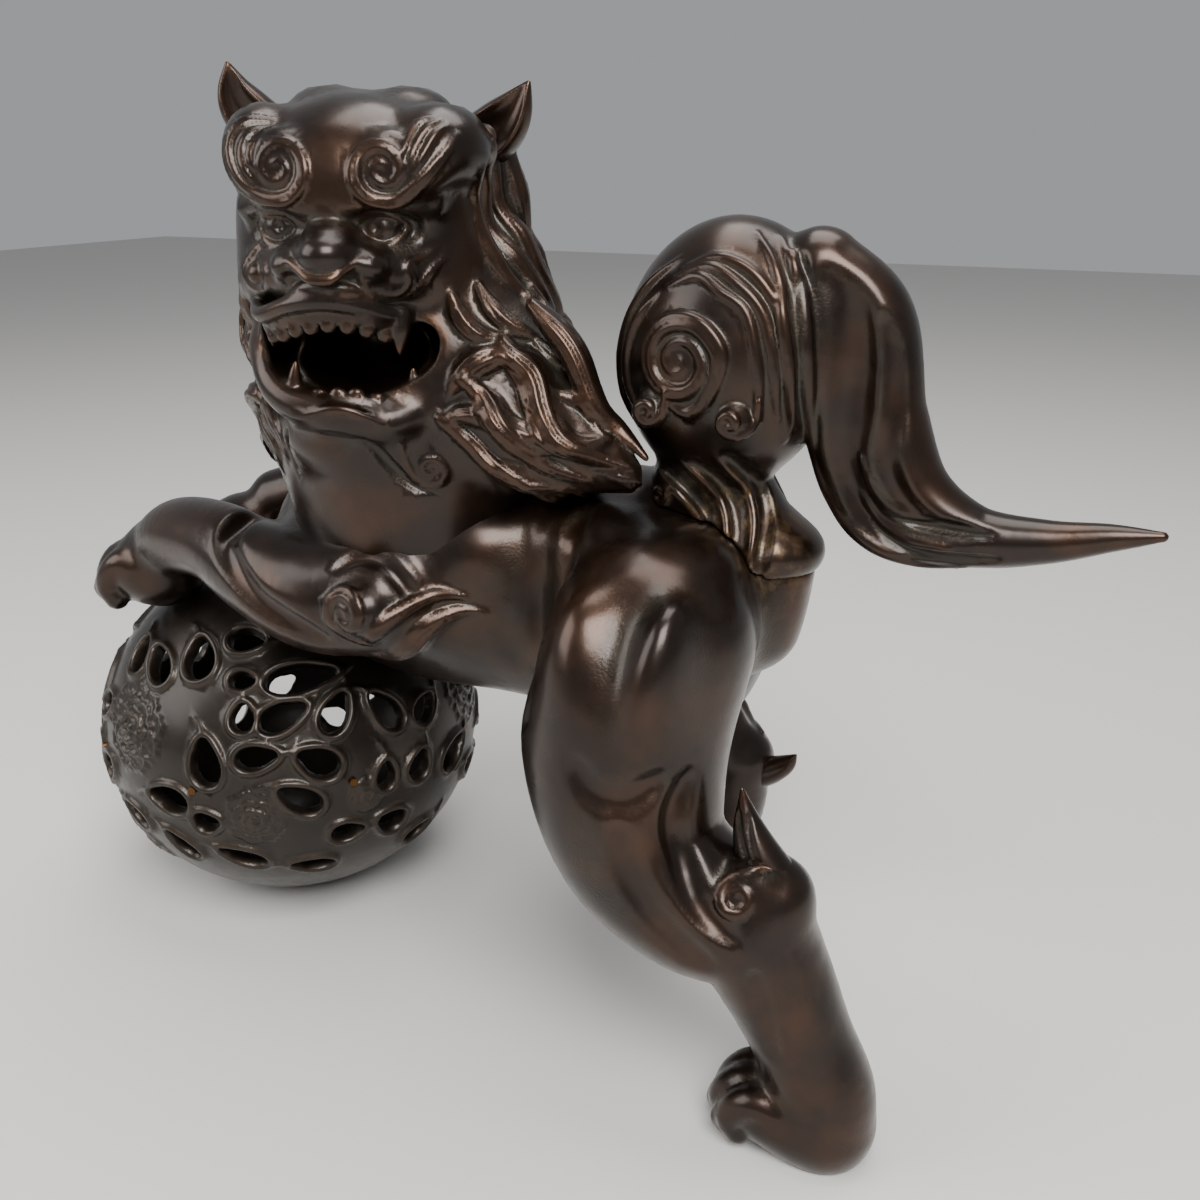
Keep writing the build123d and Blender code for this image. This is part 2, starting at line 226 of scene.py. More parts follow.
class Clay:
    """Signed distance field on a grid, in millimetres, that shapes are added to and carved from."""

    def __init__(self, low: Point, high: Point, pitch: float) -> None:
        """Makes an empty block.

        Args:
            low: lowest corner.
            high: highest corner.
            pitch: distance between grid points.
        """
        self.pitch = pitch
        self.low = np.asarray(low, float)
        counts = np.ceil((np.asarray(high) - self.low) / pitch).astype(int) + 1
        self.field = np.full(counts, FAR, np.float32)
        self.axes = [(self.low[i] + pitch * np.arange(counts[i])).astype(np.float32) for i in range(3)]

    def window(self, low: Array, high: Array) -> tuple[tuple[slice, ...], list[Array]]:
        """Slices of the grid between two corners, and its coordinates there, ready to broadcast.

        Args:
            low: lowest corner.
            high: highest corner.

        Returns:
            The slices, and x, y and z.
        """
        first = np.clip(np.floor((low - self.low) / self.pitch).astype(int), 0, self.field.shape)
        last = np.clip(np.ceil((high - self.low) / self.pitch).astype(int) + 1, first, self.field.shape)
        slices = tuple(slice(a, b) for a, b in zip(first, last))
        x, y, z = (axis[part] for axis, part in zip(self.axes, slices))
        return slices, [x[:, None, None], y[None, :, None], z[None, None, :]]

    def measure(self, shape: Egg | Tube, margin: float) -> tuple[tuple[slice, ...], Array]:
        """The shape's field in a window that reaches past it by a margin.

        Args:
            shape: egg or tube.
            margin: how far past the shape the window reaches.

        Returns:
            The window's slices, and the field in it.
        """
        low, high = shape.box()
        slices, (x, y, z) = self.window(low - margin, high + margin)
        if isinstance(shape, Egg):
            return slices, shape.distance(x, y, z)
        found = np.full(self.field[slices].shape, FAR, np.float32)
        offset = np.array([part.start for part in slices])
        for a, b, ra, rb in zip(shape.points, shape.points[1:], shape.radii, shape.radii[1:]):
            reach = max(ra, rb) + margin
            part, (px, py, pz) = self.window(np.minimum(a, b) - reach, np.maximum(a, b) + reach)
            run = b - a
            length = float(run @ run) + 1e-9
            dx, dy, dz = px - a[0], py - a[1], pz - a[2]
            t = np.clip((dx * run[0] + dy * run[1] + dz * run[2]) / length, 0, 1)
            away = (dx - t * run[0]) ** 2 + (dy - t * run[1]) ** 2 + (dz - t * run[2]) ** 2
            inner = tuple(slice(s.start - o, s.stop - o) for s, o in zip(part, offset))
            np.minimum(found[inner], np.sqrt(away) - (ra + (rb - ra) * t), out=found[inner])
        return slices, found

    def add(self, shape: Egg | Tube, blend: float = 2.0) -> None:
        """Joins a shape to the clay with a fillet."""
        slices, found = self.measure(shape, blend + 2.5 * self.pitch + 1)
        self.field[slices] = soft_min(self.field[slices], found, blend)

    def carve(self, shape: Egg | Tube, blend: float = 1.0) -> None:
        """Takes a shape out of the clay, with a softened edge."""
        slices, found = self.measure(shape, blend + 2.5 * self.pitch + 1)
        self.field[slices] = -soft_min(-self.field[slices], found, blend)

    def cut(self, point: Point, outward: Point) -> None:
        """Cuts the clay off by a plane: what lies beyond the point, on the outward side, goes.

        Args:
            point: a point of the plane.
            outward: direction of the side that goes.
        """
        normal = np.asarray(outward, float) / np.linalg.norm(outward)
        x, y, z = (axis.reshape([-1 if i == j else 1 for j in range(3)]) for i, axis in enumerate(self.axes))
        beyond = (x - point[0]) * normal[0] + (y - point[1]) * normal[1] + (z - point[2]) * normal[2]
        self.field = np.maximum(self.field, beyond.astype(np.float32))

    def fit_over(self, other: "Clay", gap: float) -> None:
        """Takes away what lies within a gap of another clay, or under it: a lift upward then comes free.

        Args:
            other: the clay that must stay free.
            gap: room left between the two.
        """
        low = other.low
        high = low + other.pitch * (np.array(other.field.shape) - 1)
        slices, (x, y, z) = self.window(low, high)
        points = np.stack(np.broadcast_arrays(x, y, z), axis=-1)
        near = other.sample(points) - gap
        under = np.minimum.accumulate(near[:, :, ::-1], axis=2)[:, :, ::-1]
        under = np.where(x < LEAF_END, under, near)
        self.field[slices] = np.maximum(self.field[slices], -under.astype(np.float32))

    def cut_disc(self, point: Point, up: Point, radius: float) -> None:
        """Cuts away the clay above a flat round seat.

        Args:
            point: middle of the seat.
            up: direction square to it.
            radius: its radius.
        """
        up = np.asarray(up, float)
        slices, (x, y, z) = self.window(np.asarray(point) - radius,
                                        np.asarray(point) + radius + SEAT_HEADROOM * up)
        dx, dy, dz = x - point[0], y - point[1], z - point[2]
        height = dx * up[0] + dy * up[1] + dz * up[2]
        away = np.sqrt(np.maximum(dx * dx + dy * dy + dz * dz - height * height, 0)) - radius
        inside = np.maximum(np.maximum(away, -height), height - SEAT_HEADROOM).astype(np.float32)
        self.field[slices] = np.maximum(self.field[slices], -inside)

    def sample(self, points: Array) -> Array:
        """Field at any points, by trilinear interpolation; the shape is that of points without its last axis.

        Args:
            points: places; the last axis holds x, y and z.

        Returns:
            The values.
        """
        place = (np.asarray(points) - self.low) / self.pitch
        place = np.clip(place, 0, np.array(self.field.shape) - 1.001)
        base = place.astype(int)
        part = place - base
        total = 0.0
        for corner in np.ndindex(2, 2, 2):
            weight = np.prod(np.where(corner, part, 1 - part), axis=-1)
            i, j, k = (base[..., axis] + corner[axis] for axis in range(3))
            total = total + weight * self.field[i, j, k]
        return total

    def slope(self, points: Array) -> Array:
        """Unit gradient of the field, which points out of the surface.

        Args:
            points: places, one row each.

        Returns:
            The unit vectors.
        """
        step = self.pitch
        moves = np.eye(3) * step
        rise = np.stack([self.sample(points + m) - self.sample(points - m) for m in moves], axis=-1)
        return rise / (np.linalg.norm(rise, axis=-1, keepdims=True) + 1e-9)

    def land(self, starts: Array, headings: Array, depth: float) -> Array:
        """Points where rays first meet the clay; a ray that misses takes the nearest one's depth.

        Args:
            starts: where the rays start, one row each.
            headings: unit directions, one row each.
            depth: how far the rays go.

        Returns:
            The points on the surface.
        """
        travel = np.arange(0, depth, self.pitch * 0.5)
        path = starts[:, None, :] + headings[:, None, :] * travel[None, :, None]
        inside = self.sample(path) < 0
        hit = inside.any(axis=1)
        first = travel[inside.argmax(axis=1)]
        index = np.arange(len(starts))
        if hit.any():
            known = index[hit]
            first = first[known[np.abs(index[:, None] - known[None, :]).argmin(axis=1)]]
        return starts + headings * first[:, None]

    def skin(self, name: str, adaptivity: float = 0.0) -> bpy.types.Object:
        """Skins the clay's zero surface as a closed mesh object in the frame's metres.

        Args:
            name: name of the new object.
            adaptivity: how freely flat places get big faces, from 0 for not at all.

        Returns:
            The new object.
        """
        grid = openvdb.FloatGrid(FAR)
        grid.copyFromArray(np.ascontiguousarray(self.field))
        points, triangles, quads = grid.convertToPolygons(isovalue=0.0, adaptivity=adaptivity)
        points = points * self.pitch + self.low
        points = points - self.slope(points) * self.sample(points)[:, None]
        faces = [tuple(row) for row in triangles.tolist() + quads.tolist()]
        mesh = bpy.data.meshes.new(name)
        mesh.from_pydata(points * MM + FOOT, [], faces)
        mesh.validate()
        return placed(name, mesh)

    def normals_dust_and_highlight_masks(self, piece: bpy.types.Object) -> None:
        """Sets the normals, and two point attributes from how full and how empty the clay is round a point.

        hollow is 1 - (field at p + n h) / h, averaged over a few heights h: above 0 where walls stand near.
        edge is 1 + (field at p - n h) / h, in the same way: above 0 where little metal lies beneath. It masks
        the painted highlight on the edges.

        Args:
            piece: the object skinned from this clay.
        """
        mesh = piece.data
        coords = np.empty(len(mesh.vertices) * 3)
        mesh.vertices.foreach_get("co", coords)
        points = (coords.reshape(-1, 3) - FOOT) / MM
        normal = self.slope(points)
        mesh.normals_split_custom_set_from_vertices(normal)
        values = {"hollow": 0.0, "edge": 0.0}
        for height in (1.2, 2.4, 4.0):
            above = np.clip(self.sample(points + normal * height) / height, -1, 1)
            below = np.clip(-self.sample(points - normal * height) / height, -1, 1)
            values["hollow"] = values["hollow"] + (1 - above) / 3
            values["edge"] = values["edge"] + (1 - below) / 3
        for name, value in values.items():
            layer = mesh.attributes.new(name, "FLOAT", "POINT")
            layer.data.foreach_set("value", np.clip(value, 0, 1).astype(np.float32))


def placed(name: str, mesh: bpy.types.Mesh) -> bpy.types.Object:
    """Links a mesh into the scene as a smooth-shaded object at the origin.

    Args:
        name: name of the new object.
        mesh: its mesh.

    Returns:
        The new object.
    """
    piece = bpy.data.objects.new(name, mesh)
    bpy.context.scene.collection.objects.link(piece)
    mesh.shade_smooth()
    return piece


# ---------------------------------------------------------------- drawing on the clay


@dataclass(frozen=True)
class Board:
    """Flat drawing board before the clay: a sketch point (a, b) looks at the clay along one direction."""

    origin: Point
    right: Point
    up: Point
    reach: float = 118.0  # stops short of the lion's middle

    def rays(self, sketch: Array) -> tuple[Array, Array]:
        """Starts and directions of the rays through sketch points.

        Args:
            sketch: sketch points, one row each.

        Returns:
            Where the rays start, and their unit directions.
        """
        right, up = np.asarray(self.right, float), np.asarray(self.up, float)
        look = np.cross(up, right)
        starts = np.asarray(self.origin) + sketch[:, :1] * right + sketch[:, 1:2] * up
        starts = starts - look * BOARD_AWAY
        return starts, np.broadcast_to(look, starts.shape)


@dataclass(frozen=True)
class Drum:
    """Drawing drum round an upright axis: a sketch point is (millimetres round it, height).

    The round measure is taken at the drum's radius, from the direction start, in degrees from +X.
    """

    centre: Point
    radius: float
    start: float
    reach: float = 98.0

    def rays(self, sketch: Array) -> tuple[Array, Array]:
        """Starts and directions of the rays through sketch points.

        Args:
            sketch: sketch points, one row each.

        Returns:
            Where the rays start, and their unit directions.
        """
        angle = math.radians(self.start) + sketch[:, 0] / self.radius
        outward = np.stack([np.cos(angle), np.sin(angle), np.zeros(len(angle))], axis=1)
        axis = np.stack([np.full(len(angle), self.centre[0]), np.full(len(angle), self.centre[1]),
                         sketch[:, 1]], 1)
        return axis + outward * DRUM_AWAY, -outward


@dataclass
class Tress:
    """Lock of hair drawn on the clay: strands that run side by side along a spine.

    Across the spine the strands are spread over the width; each is a tube, and the middle ones stand
    highest, as lift * width * (1 - q^2), where q goes from -1 to 1 across the lock.
    """

    spine: Sequence[Point]
    width: Sequence[float]
    strands: int = 3
    lift: float = 0.18
    sink: float = 0.35
    blend: float = 0.5
    body: float = 0.0

    def press(self, clay: Clay, board: Board | Drum) -> None:
        """Lays the strands on the clay and joins them to it.

        Args:
            clay: what is shaped.
            board: where it is drawn.
        """
        path = spline(self.spine, 1.2)
        t = np.linspace(0, 1, len(path))
        width = np.interp(t, np.linspace(0, 1, len(self.width)), self.width)
        along = np.gradient(path, axis=0)
        across = np.stack([-along[:, 1], along[:, 0]], axis=1)
        across = across / (np.linalg.norm(across, axis=1, keepdims=True) + 1e-9)
        starts, headings = board.rays(path)
        if self.body > 0:
            sunk = (width * 0.5 * (1 - self.body))[:, None]
            core = clay.land(starts, headings, board.reach) + headings * sunk
            clay.add(Tube(steadied(core), width * 0.5), 1.5)
        laid = []
        for i in range(self.strands):
            place = (2 * i + 1) / self.strands - 1
            sketch = path + across * (place * 0.5 * width * (1 - 0.5 / self.strands))[:, None]
            starts, headings = board.rays(sketch)
            radius = np.maximum(width / self.strands * 0.58, 0.45)
            raise_by = self.lift * width * (1 - place**2) - self.sink * radius
            points = clay.land(starts, headings, board.reach) - headings * raise_by[:, None]
            laid.append(Tube(steadied(points), radius))
        for tube in laid:
            clay.add(tube, self.blend)


def steadied(points: Array) -> Array:
    """The points with a short running mean, so that a strand doesn't jump where it crosses an edge."""
    padded = np.vstack([points[:1]] * 2 + [points] + [points[-1:]] * 2)
    return sum(padded[i:i + len(points)] for i in range(5)) / 5


def curl(centre: Point, radius: float, turns: float, start: float, hand: int = 1,
         inner: float = 0.18) -> list[Point]:
    """Spiral sketch from its rim to its eye: r falls evenly from radius to inner * radius over the turns.

    Args:
        centre: middle of the spiral.
        radius: radius at the rim.
        turns: number of turns.
        start: direction of the rim's end from the centre, in degrees.
        hand: 1 to turn anticlockwise, -1 clockwise.
        inner: radius at the eye over the radius at the rim.

    Returns:
        The sketch points.
    """
    count = max(6, int(turns * 9))
    t = np.linspace(0, 1, count)
    angle = np.radians(start) + hand * turns * 2 * np.pi * t
    size = radius * (1 - (1 - inner) * t)
    return list(zip(centre[0] + size * np.cos(angle), centre[1] + size * np.sin(angle)))


def groove(clay: Clay, board: Board | Drum, sketch: Sequence[Point], size: float, depth: float,
           blend: float) -> None:
    """Cuts a groove along a sketched line: a tapered tube whose axis stands above the surface.

    Args:
        clay: what is cut.
        board: where the line is drawn.
        sketch: control points of the line.
        size: radius of the cutting tube in the middle of the line.
        depth: depth of the groove.
        blend: softening of its edges.
    """
    path = spline(sketch, 1.5)
    t = np.linspace(-1, 1, len(path))
    radius = size * np.sqrt(np.maximum(1 - t**4, 0.05))
    starts, headings = board.rays(path)
    above = (radius - depth * (1 - t**4))[:, None]
    points = clay.land(starts, headings, board.reach) - headings * above
    clay.carve(Tube(steadied(points), radius), blend)


def chain(stations: Sequence[Point], step: float = 3.0) -> Tube:
    """Smooth limb through stations of x, y, z and radius."""
    rows = spline(stations, step)
    return Tube(rows[:, :3], np.maximum(rows[:, 3], 0.2))


# ---------------------------------------------------------------- finishes


def linear(code: str) -> tuple[float, float, float, float]:
    """Linear colour of an sRGB hex value such as 3a2a1c."""
    parts = [int(code[i:i + 2], 16) / 255 for i in (0, 2, 4)]
    return (*(c / 12.92 if c <= 0.04045 else ((c + 0.055) / 1.055) ** 2.4 for c in parts), 1.0)


def node(tree: bpy.types.NodeTree, kind: str, links: dict | None = None, inputs: dict | None = None,
         **settings: object) -> bpy.types.Node:
    """Adds a node.

    Args:
        tree: the material's node tree.
        kind: the node's type name.
        links: input socket to the output socket that feeds it.
        inputs: input socket to its own value.
        settings: attributes of the node.

    Returns:
        The new node.
    """
    made = tree.nodes.new(kind)
    for name, value in settings.items():
        setattr(made, name, value)
    for socket, value in (inputs or {}).items():
        made.inputs[socket].default_value = value
    for socket, source in (links or {}).items():
        tree.links.new(source, made.inputs[socket])
    return made


@dataclass(frozen=True)
class Patina:
    """Finish of cast bronze under an oxide and wax patina.

    Bare tin bronze is golden; the oxide darkens it to brown, warmer in random patches, and dust and old wax
    lie grey-green in the hollows. A painted highlight lightens the convex edges to the same warm brown. The
    eye gets a dark metal with soft, bright highlights that break up where the cast skin is pitted.
    """

    name: str
    base: str = "241a14"
    # warm brown of the random patches, and of the painted highlight on the convex edges
    warm: str = "51331d"
    dust: str = "41423a"
    crust: str = "6f5a3c"
    roughness: float = 0.30
    dustiness: float = 0.75
    crust_box: tuple[Point, Point] | None = None

    def material(self) -> bpy.types.Material:
        """Builds the node material.

        Returns:
            The new material.
        """
        made = bpy.data.materials.new(self.name)
        made.use_nodes = True
        tree = made.node_tree
        tree.nodes.clear()
        coords = node(tree, "ShaderNodeTexCoord").outputs["Object"]
        hollow = node(tree, "ShaderNodeAttribute", attribute_name="hollow").outputs["Fac"]
        edge = node(tree, "ShaderNodeAttribute", attribute_name="edge").outputs["Fac"]
        # patches of the brown, 25 mm across, and a finer cloud of 5 mm
        patches = node(tree, "ShaderNodeTexNoise", {"Vector": coords}, {"Scale": 40.0, "Detail": 3.0})
        cloud = node(tree, "ShaderNodeTexNoise", {"Vector": coords}, {"Scale": 220.0, "Detail": 4.0})
        # pits of the cast skin, 0.9 mm across
        pits = node(tree, "ShaderNodeTexNoise", {"Vector": coords}, {"Scale": 1100.0, "Detail": 2.0})
        # painted highlight: the convex edges, broken up by the fine cloud, are lightened to the warm brown
        edge_highlight = node(tree, "ShaderNodeMapRange", {"Value": edge}, {"From Min": 0.22, "From Max": 0.80})
        painted_highlight = node(tree, "ShaderNodeMath", {0: edge_highlight.outputs[0], 1: cloud.outputs["Fac"]},
                    operation="MULTIPLY")
        tone = node(tree, "ShaderNodeMapRange", {"Value": patches.outputs["Fac"]},
                    {"From Min": 0.42, "From Max": 0.72, "To Max": 0.42})
        tone_and_highlight = node(tree, "ShaderNodeMath", {0: painted_highlight.outputs[0], 1: tone.outputs[0]}, operation="MAXIMUM",
                      use_clamp=True)
        brown = node(tree, "ShaderNodeMix", {"Factor": tone_and_highlight.outputs[0]}, {"A": linear(self.base),
                     "B": linear(self.warm)}, data_type="RGBA")
        deep = node(tree, "ShaderNodeMapRange", {"Value": hollow}, {"From Min": 0.10, "From Max": 0.50})
        dusty = node(tree, "ShaderNodeMath", {0: deep.outputs[0], 1: cloud.outputs["Fac"]},
                     operation="MULTIPLY")
        dusty = node(tree, "ShaderNodeMath", {0: dusty.outputs[0]}, {1: self.dustiness}, operation="MULTIPLY")
        colour = node(tree, "ShaderNodeMix", {"Factor": dusty.outputs[0], "A": brown.outputs["Result"]},
                      {"B": linear(self.dust)}, data_type="RGBA")
        colour = self.with_crust(tree, coords, cloud.outputs["Fac"], colour)
        rough = node(tree, "ShaderNodeMapRange", {"Value": dusty.outputs[0]},
                     {"From Min": 0.0, "From Max": 0.6, "To Min": self.roughness, "To Max": 0.62})
        uneven = node(tree, "ShaderNodeMapRange", {"Value": cloud.outputs["Fac"]},
                      {"To Min": -0.10, "To Max": 0.12})
        rough = node(tree, "ShaderNodeMath", {0: rough.outputs[0], 1: uneven.outputs[0]}, operation="ADD")
        skin = node(tree, "ShaderNodeMapRange", {"Value": hollow},
                    {"From Min": 0.04, "From Max": 0.30, "To Min": 0.10, "To Max": 0.75})
        height = node(tree, "ShaderNodeMath", {0: pits.outputs["Fac"], 1: skin.outputs[0]},
                      operation="MULTIPLY")
        bump = node(tree, "ShaderNodeBump", {"Height": height.outputs[0]},
                    {"Strength": 0.55, "Distance": 0.0005})
        shader = node(
            tree, "ShaderNodeBsdfPrincipled",
            {"Base Color": colour.outputs["Result"], "Roughness": rough.outputs[0],
             "Normal": bump.outputs[0]},
            {"Metallic": 0.8, "Coat Weight": 0.35, "Coat Roughness": 0.22},
        )
        node(tree, "ShaderNodeOutputMaterial", {"Surface": shader.outputs[0]})
        return made

    def with_crust(self, tree: bpy.types.NodeTree, coords: bpy.types.NodeSocket, cloud: bpy.types.NodeSocket,
                   colour: bpy.types.Node) -> bpy.types.Node:
        """Adds a tan crust of old dirt round one place, if the finish has one.

        Args:
            tree: the material's node tree.
            coords: socket with the object coordinates.
            cloud: socket with the fine noise.
            colour: node with the colour so far.

        Returns:
            The node with the new colour.
        """
        if self.crust_box is None:
            return colour
        centre, size = self.crust_box
        away = node(tree, "ShaderNodeVectorMath", {0: coords}, {1: tuple(centre)}, operation="SUBTRACT")
        away = node(tree, "ShaderNodeVectorMath", {0: away.outputs[0]}, {1: tuple(size)}, operation="DIVIDE")
        away = node(tree, "ShaderNodeVectorMath", {0: away.outputs[0]}, operation="LENGTH")
        near = node(tree, "ShaderNodeMapRange", {"Value": away.outputs["Value"]},
                    {"From Min": 1.0, "From Max": 0.3})
        grain = node(tree, "ShaderNodeMapRange", {"Value": cloud}, {"From Min": 0.48, "From Max": 0.62})
        amount = node(tree, "ShaderNodeMath", {0: near.outputs[0], 1: grain.outputs[0]}, operation="MULTIPLY")
        amount = node(tree, "ShaderNodeMath", {0: amount.outputs[0]}, {1: 0.45}, operation="MULTIPLY")
        return node(tree, "ShaderNodeMix", {"Factor": amount.outputs[0], "A": colour.outputs["Result"]},
                    {"B": linear(self.crust)}, data_type="RGBA")


@dataclass(frozen=True)
class TurnedMetal:
    """Plain turned or forged metal of a fixing: one colour, dulled by a fine cloud in its gloss."""

    name: str
    colour: str
    roughness: float

    def material(self) -> bpy.types.Material:
        """Builds the node material.

        Returns:
            The new material.
        """
        made = bpy.data.materials.new(self.name)
        made.use_nodes = True
        tree = made.node_tree
        tree.nodes.clear()
        coords = node(tree, "ShaderNodeTexCoord").outputs["Object"]
        # tarnish in clouds of 2 mm
        cloud = node(tree, "ShaderNodeTexNoise", {"Vector": coords}, {"Scale": 500.0, "Detail": 3.0})
        dull = tuple(0.45 * c for c in linear(self.colour)[:3]) + (1.0,)
        colour = node(tree, "ShaderNodeMix", {"Factor": cloud.outputs["Fac"]},
                      {"A": linear(self.colour), "B": dull}, data_type="RGBA")
        rough = node(tree, "ShaderNodeMapRange", {"Value": cloud.outputs["Fac"]},
                     {"To Min": self.roughness - 0.1, "To Max": self.roughness + 0.15})
        bump = node(tree, "ShaderNodeBump", {"Height": cloud.outputs["Fac"]},
                    {"Strength": 0.2, "Distance": 0.0003})
        shader = node(tree, "ShaderNodeBsdfPrincipled",
                      {"Base Color": colour.outputs["Result"], "Roughness": rough.outputs[0],
                       "Normal": bump.outputs[0]}, {"Metallic": 1.0})
        node(tree, "ShaderNodeOutputMaterial", {"Surface": shader.outputs[0]})
        return made


def finish_piece(piece: bpy.types.Object, nodes: Sequence[str], body: str,
                 material: bpy.types.Material) -> None:
    """Dresses a piece, puts it on its body and lets it stand for its CAD nodes.

    Args:
        piece: the casting.
        nodes: CAD nodes that it stands for.
        body: CAD body that it rides on.
        material: its finish.
    """
    piece.data.materials.clear()
    piece.data.materials.append(material)
    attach(piece, body)
    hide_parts(*nodes)
    LOG.info("%s: %d faces", piece.name, len(piece.data.polygons))


# ---------------------------------------------------------------- body and legs


def flank(side: Side) -> Board:
    """Board beside the lion; sketch a runs along x, mirrored on the right flank."""
    return Board((0, 0, 0), (-side.value, 0, 0), (0, 0, 1))


def along(side: Side, sketch: Sequence[Point]) -> list[Point]:
    """Sketch of x and z for either flank's board."""
    return [(-side.value * row[0], *row[1:]) for row in sketch]


@dataclass(frozen=True)
class Limb:
    """A leg: its tube, where its paw stands, which way the toes point, and the plan of what is cut off with
    it.
    """

    name: str
    side: Side
    stations: tuple[Point, ...]
    paw: Point
    heading: float
    seam: tuple[Point, ...]


def turning(plan: Sequence[Point]) -> float:
    """Twice the area of a plan; above 0 when it runs anticlockwise."""
    return sum(a[0] * b[1] - a[1] * b[0] for a, b in zip(plan, [*plan[1:], plan[0]]))


LIMBS = (
    Limb("left_foreleg", Side.LEFT,
         ((88, -40, 152, 22), (62, -47, 149, 20.5), (38, -48, 154, 16.5), (16, -42, 158.5, 14.5),
          (-8, -34, 156, 14), (-26, -28, 148, 12)),
         (-31, -27, 139), 190, ((-90, 0), (14, 0), (30, -24), (72, -24), (72, -130), (-90, -130))),
    Limb("right_foreleg", Side.RIGHT,
         ((82, 40, 153, 22), (54, 47, 151, 19.5), (26, 46, 155, 15.5), (2, 41, 157, 14), (-20, 35, 151, 13)),
         (-34, 30, 139), 172, ((-90, 0), (-90, 130), (66, 130), (66, 24), (30, 24), (14, 0))),
    Limb("left_hind_leg", Side.LEFT,
         ((179, -41, 150, 32), (176, -50, 130, 32.5), (178, -56, 110, 30), (186, -61, 91, 25.5),
          (203, -62, 78, 22.5),
          (219, -61, 72, 19.5), (228, -60, 58, 17.5), (238, -60, 38, 15.5), (245, -60, 22, 16),
          (246, -60, 10, 16.5)),
         (234, -60, 12), 180, ((143, -26), (143, -130), (300, -130), (300, -26))),
    Limb("right_hind_leg", Side.RIGHT,
         ((168, 38, 150, 29), (163, 45, 128, 30), (156, 53, 106, 28), (150, 55, 90, 24), (160, 57, 74, 21),
          (170, 58, 59, 17.5), (173, 57, 43, 14.5), (167, 56, 27, 13.5), (160, 56, 14, 14)),
         (154, 56, 13), 184, ((134, 26), (300, 26), (300, 130), (134, 130))),
)


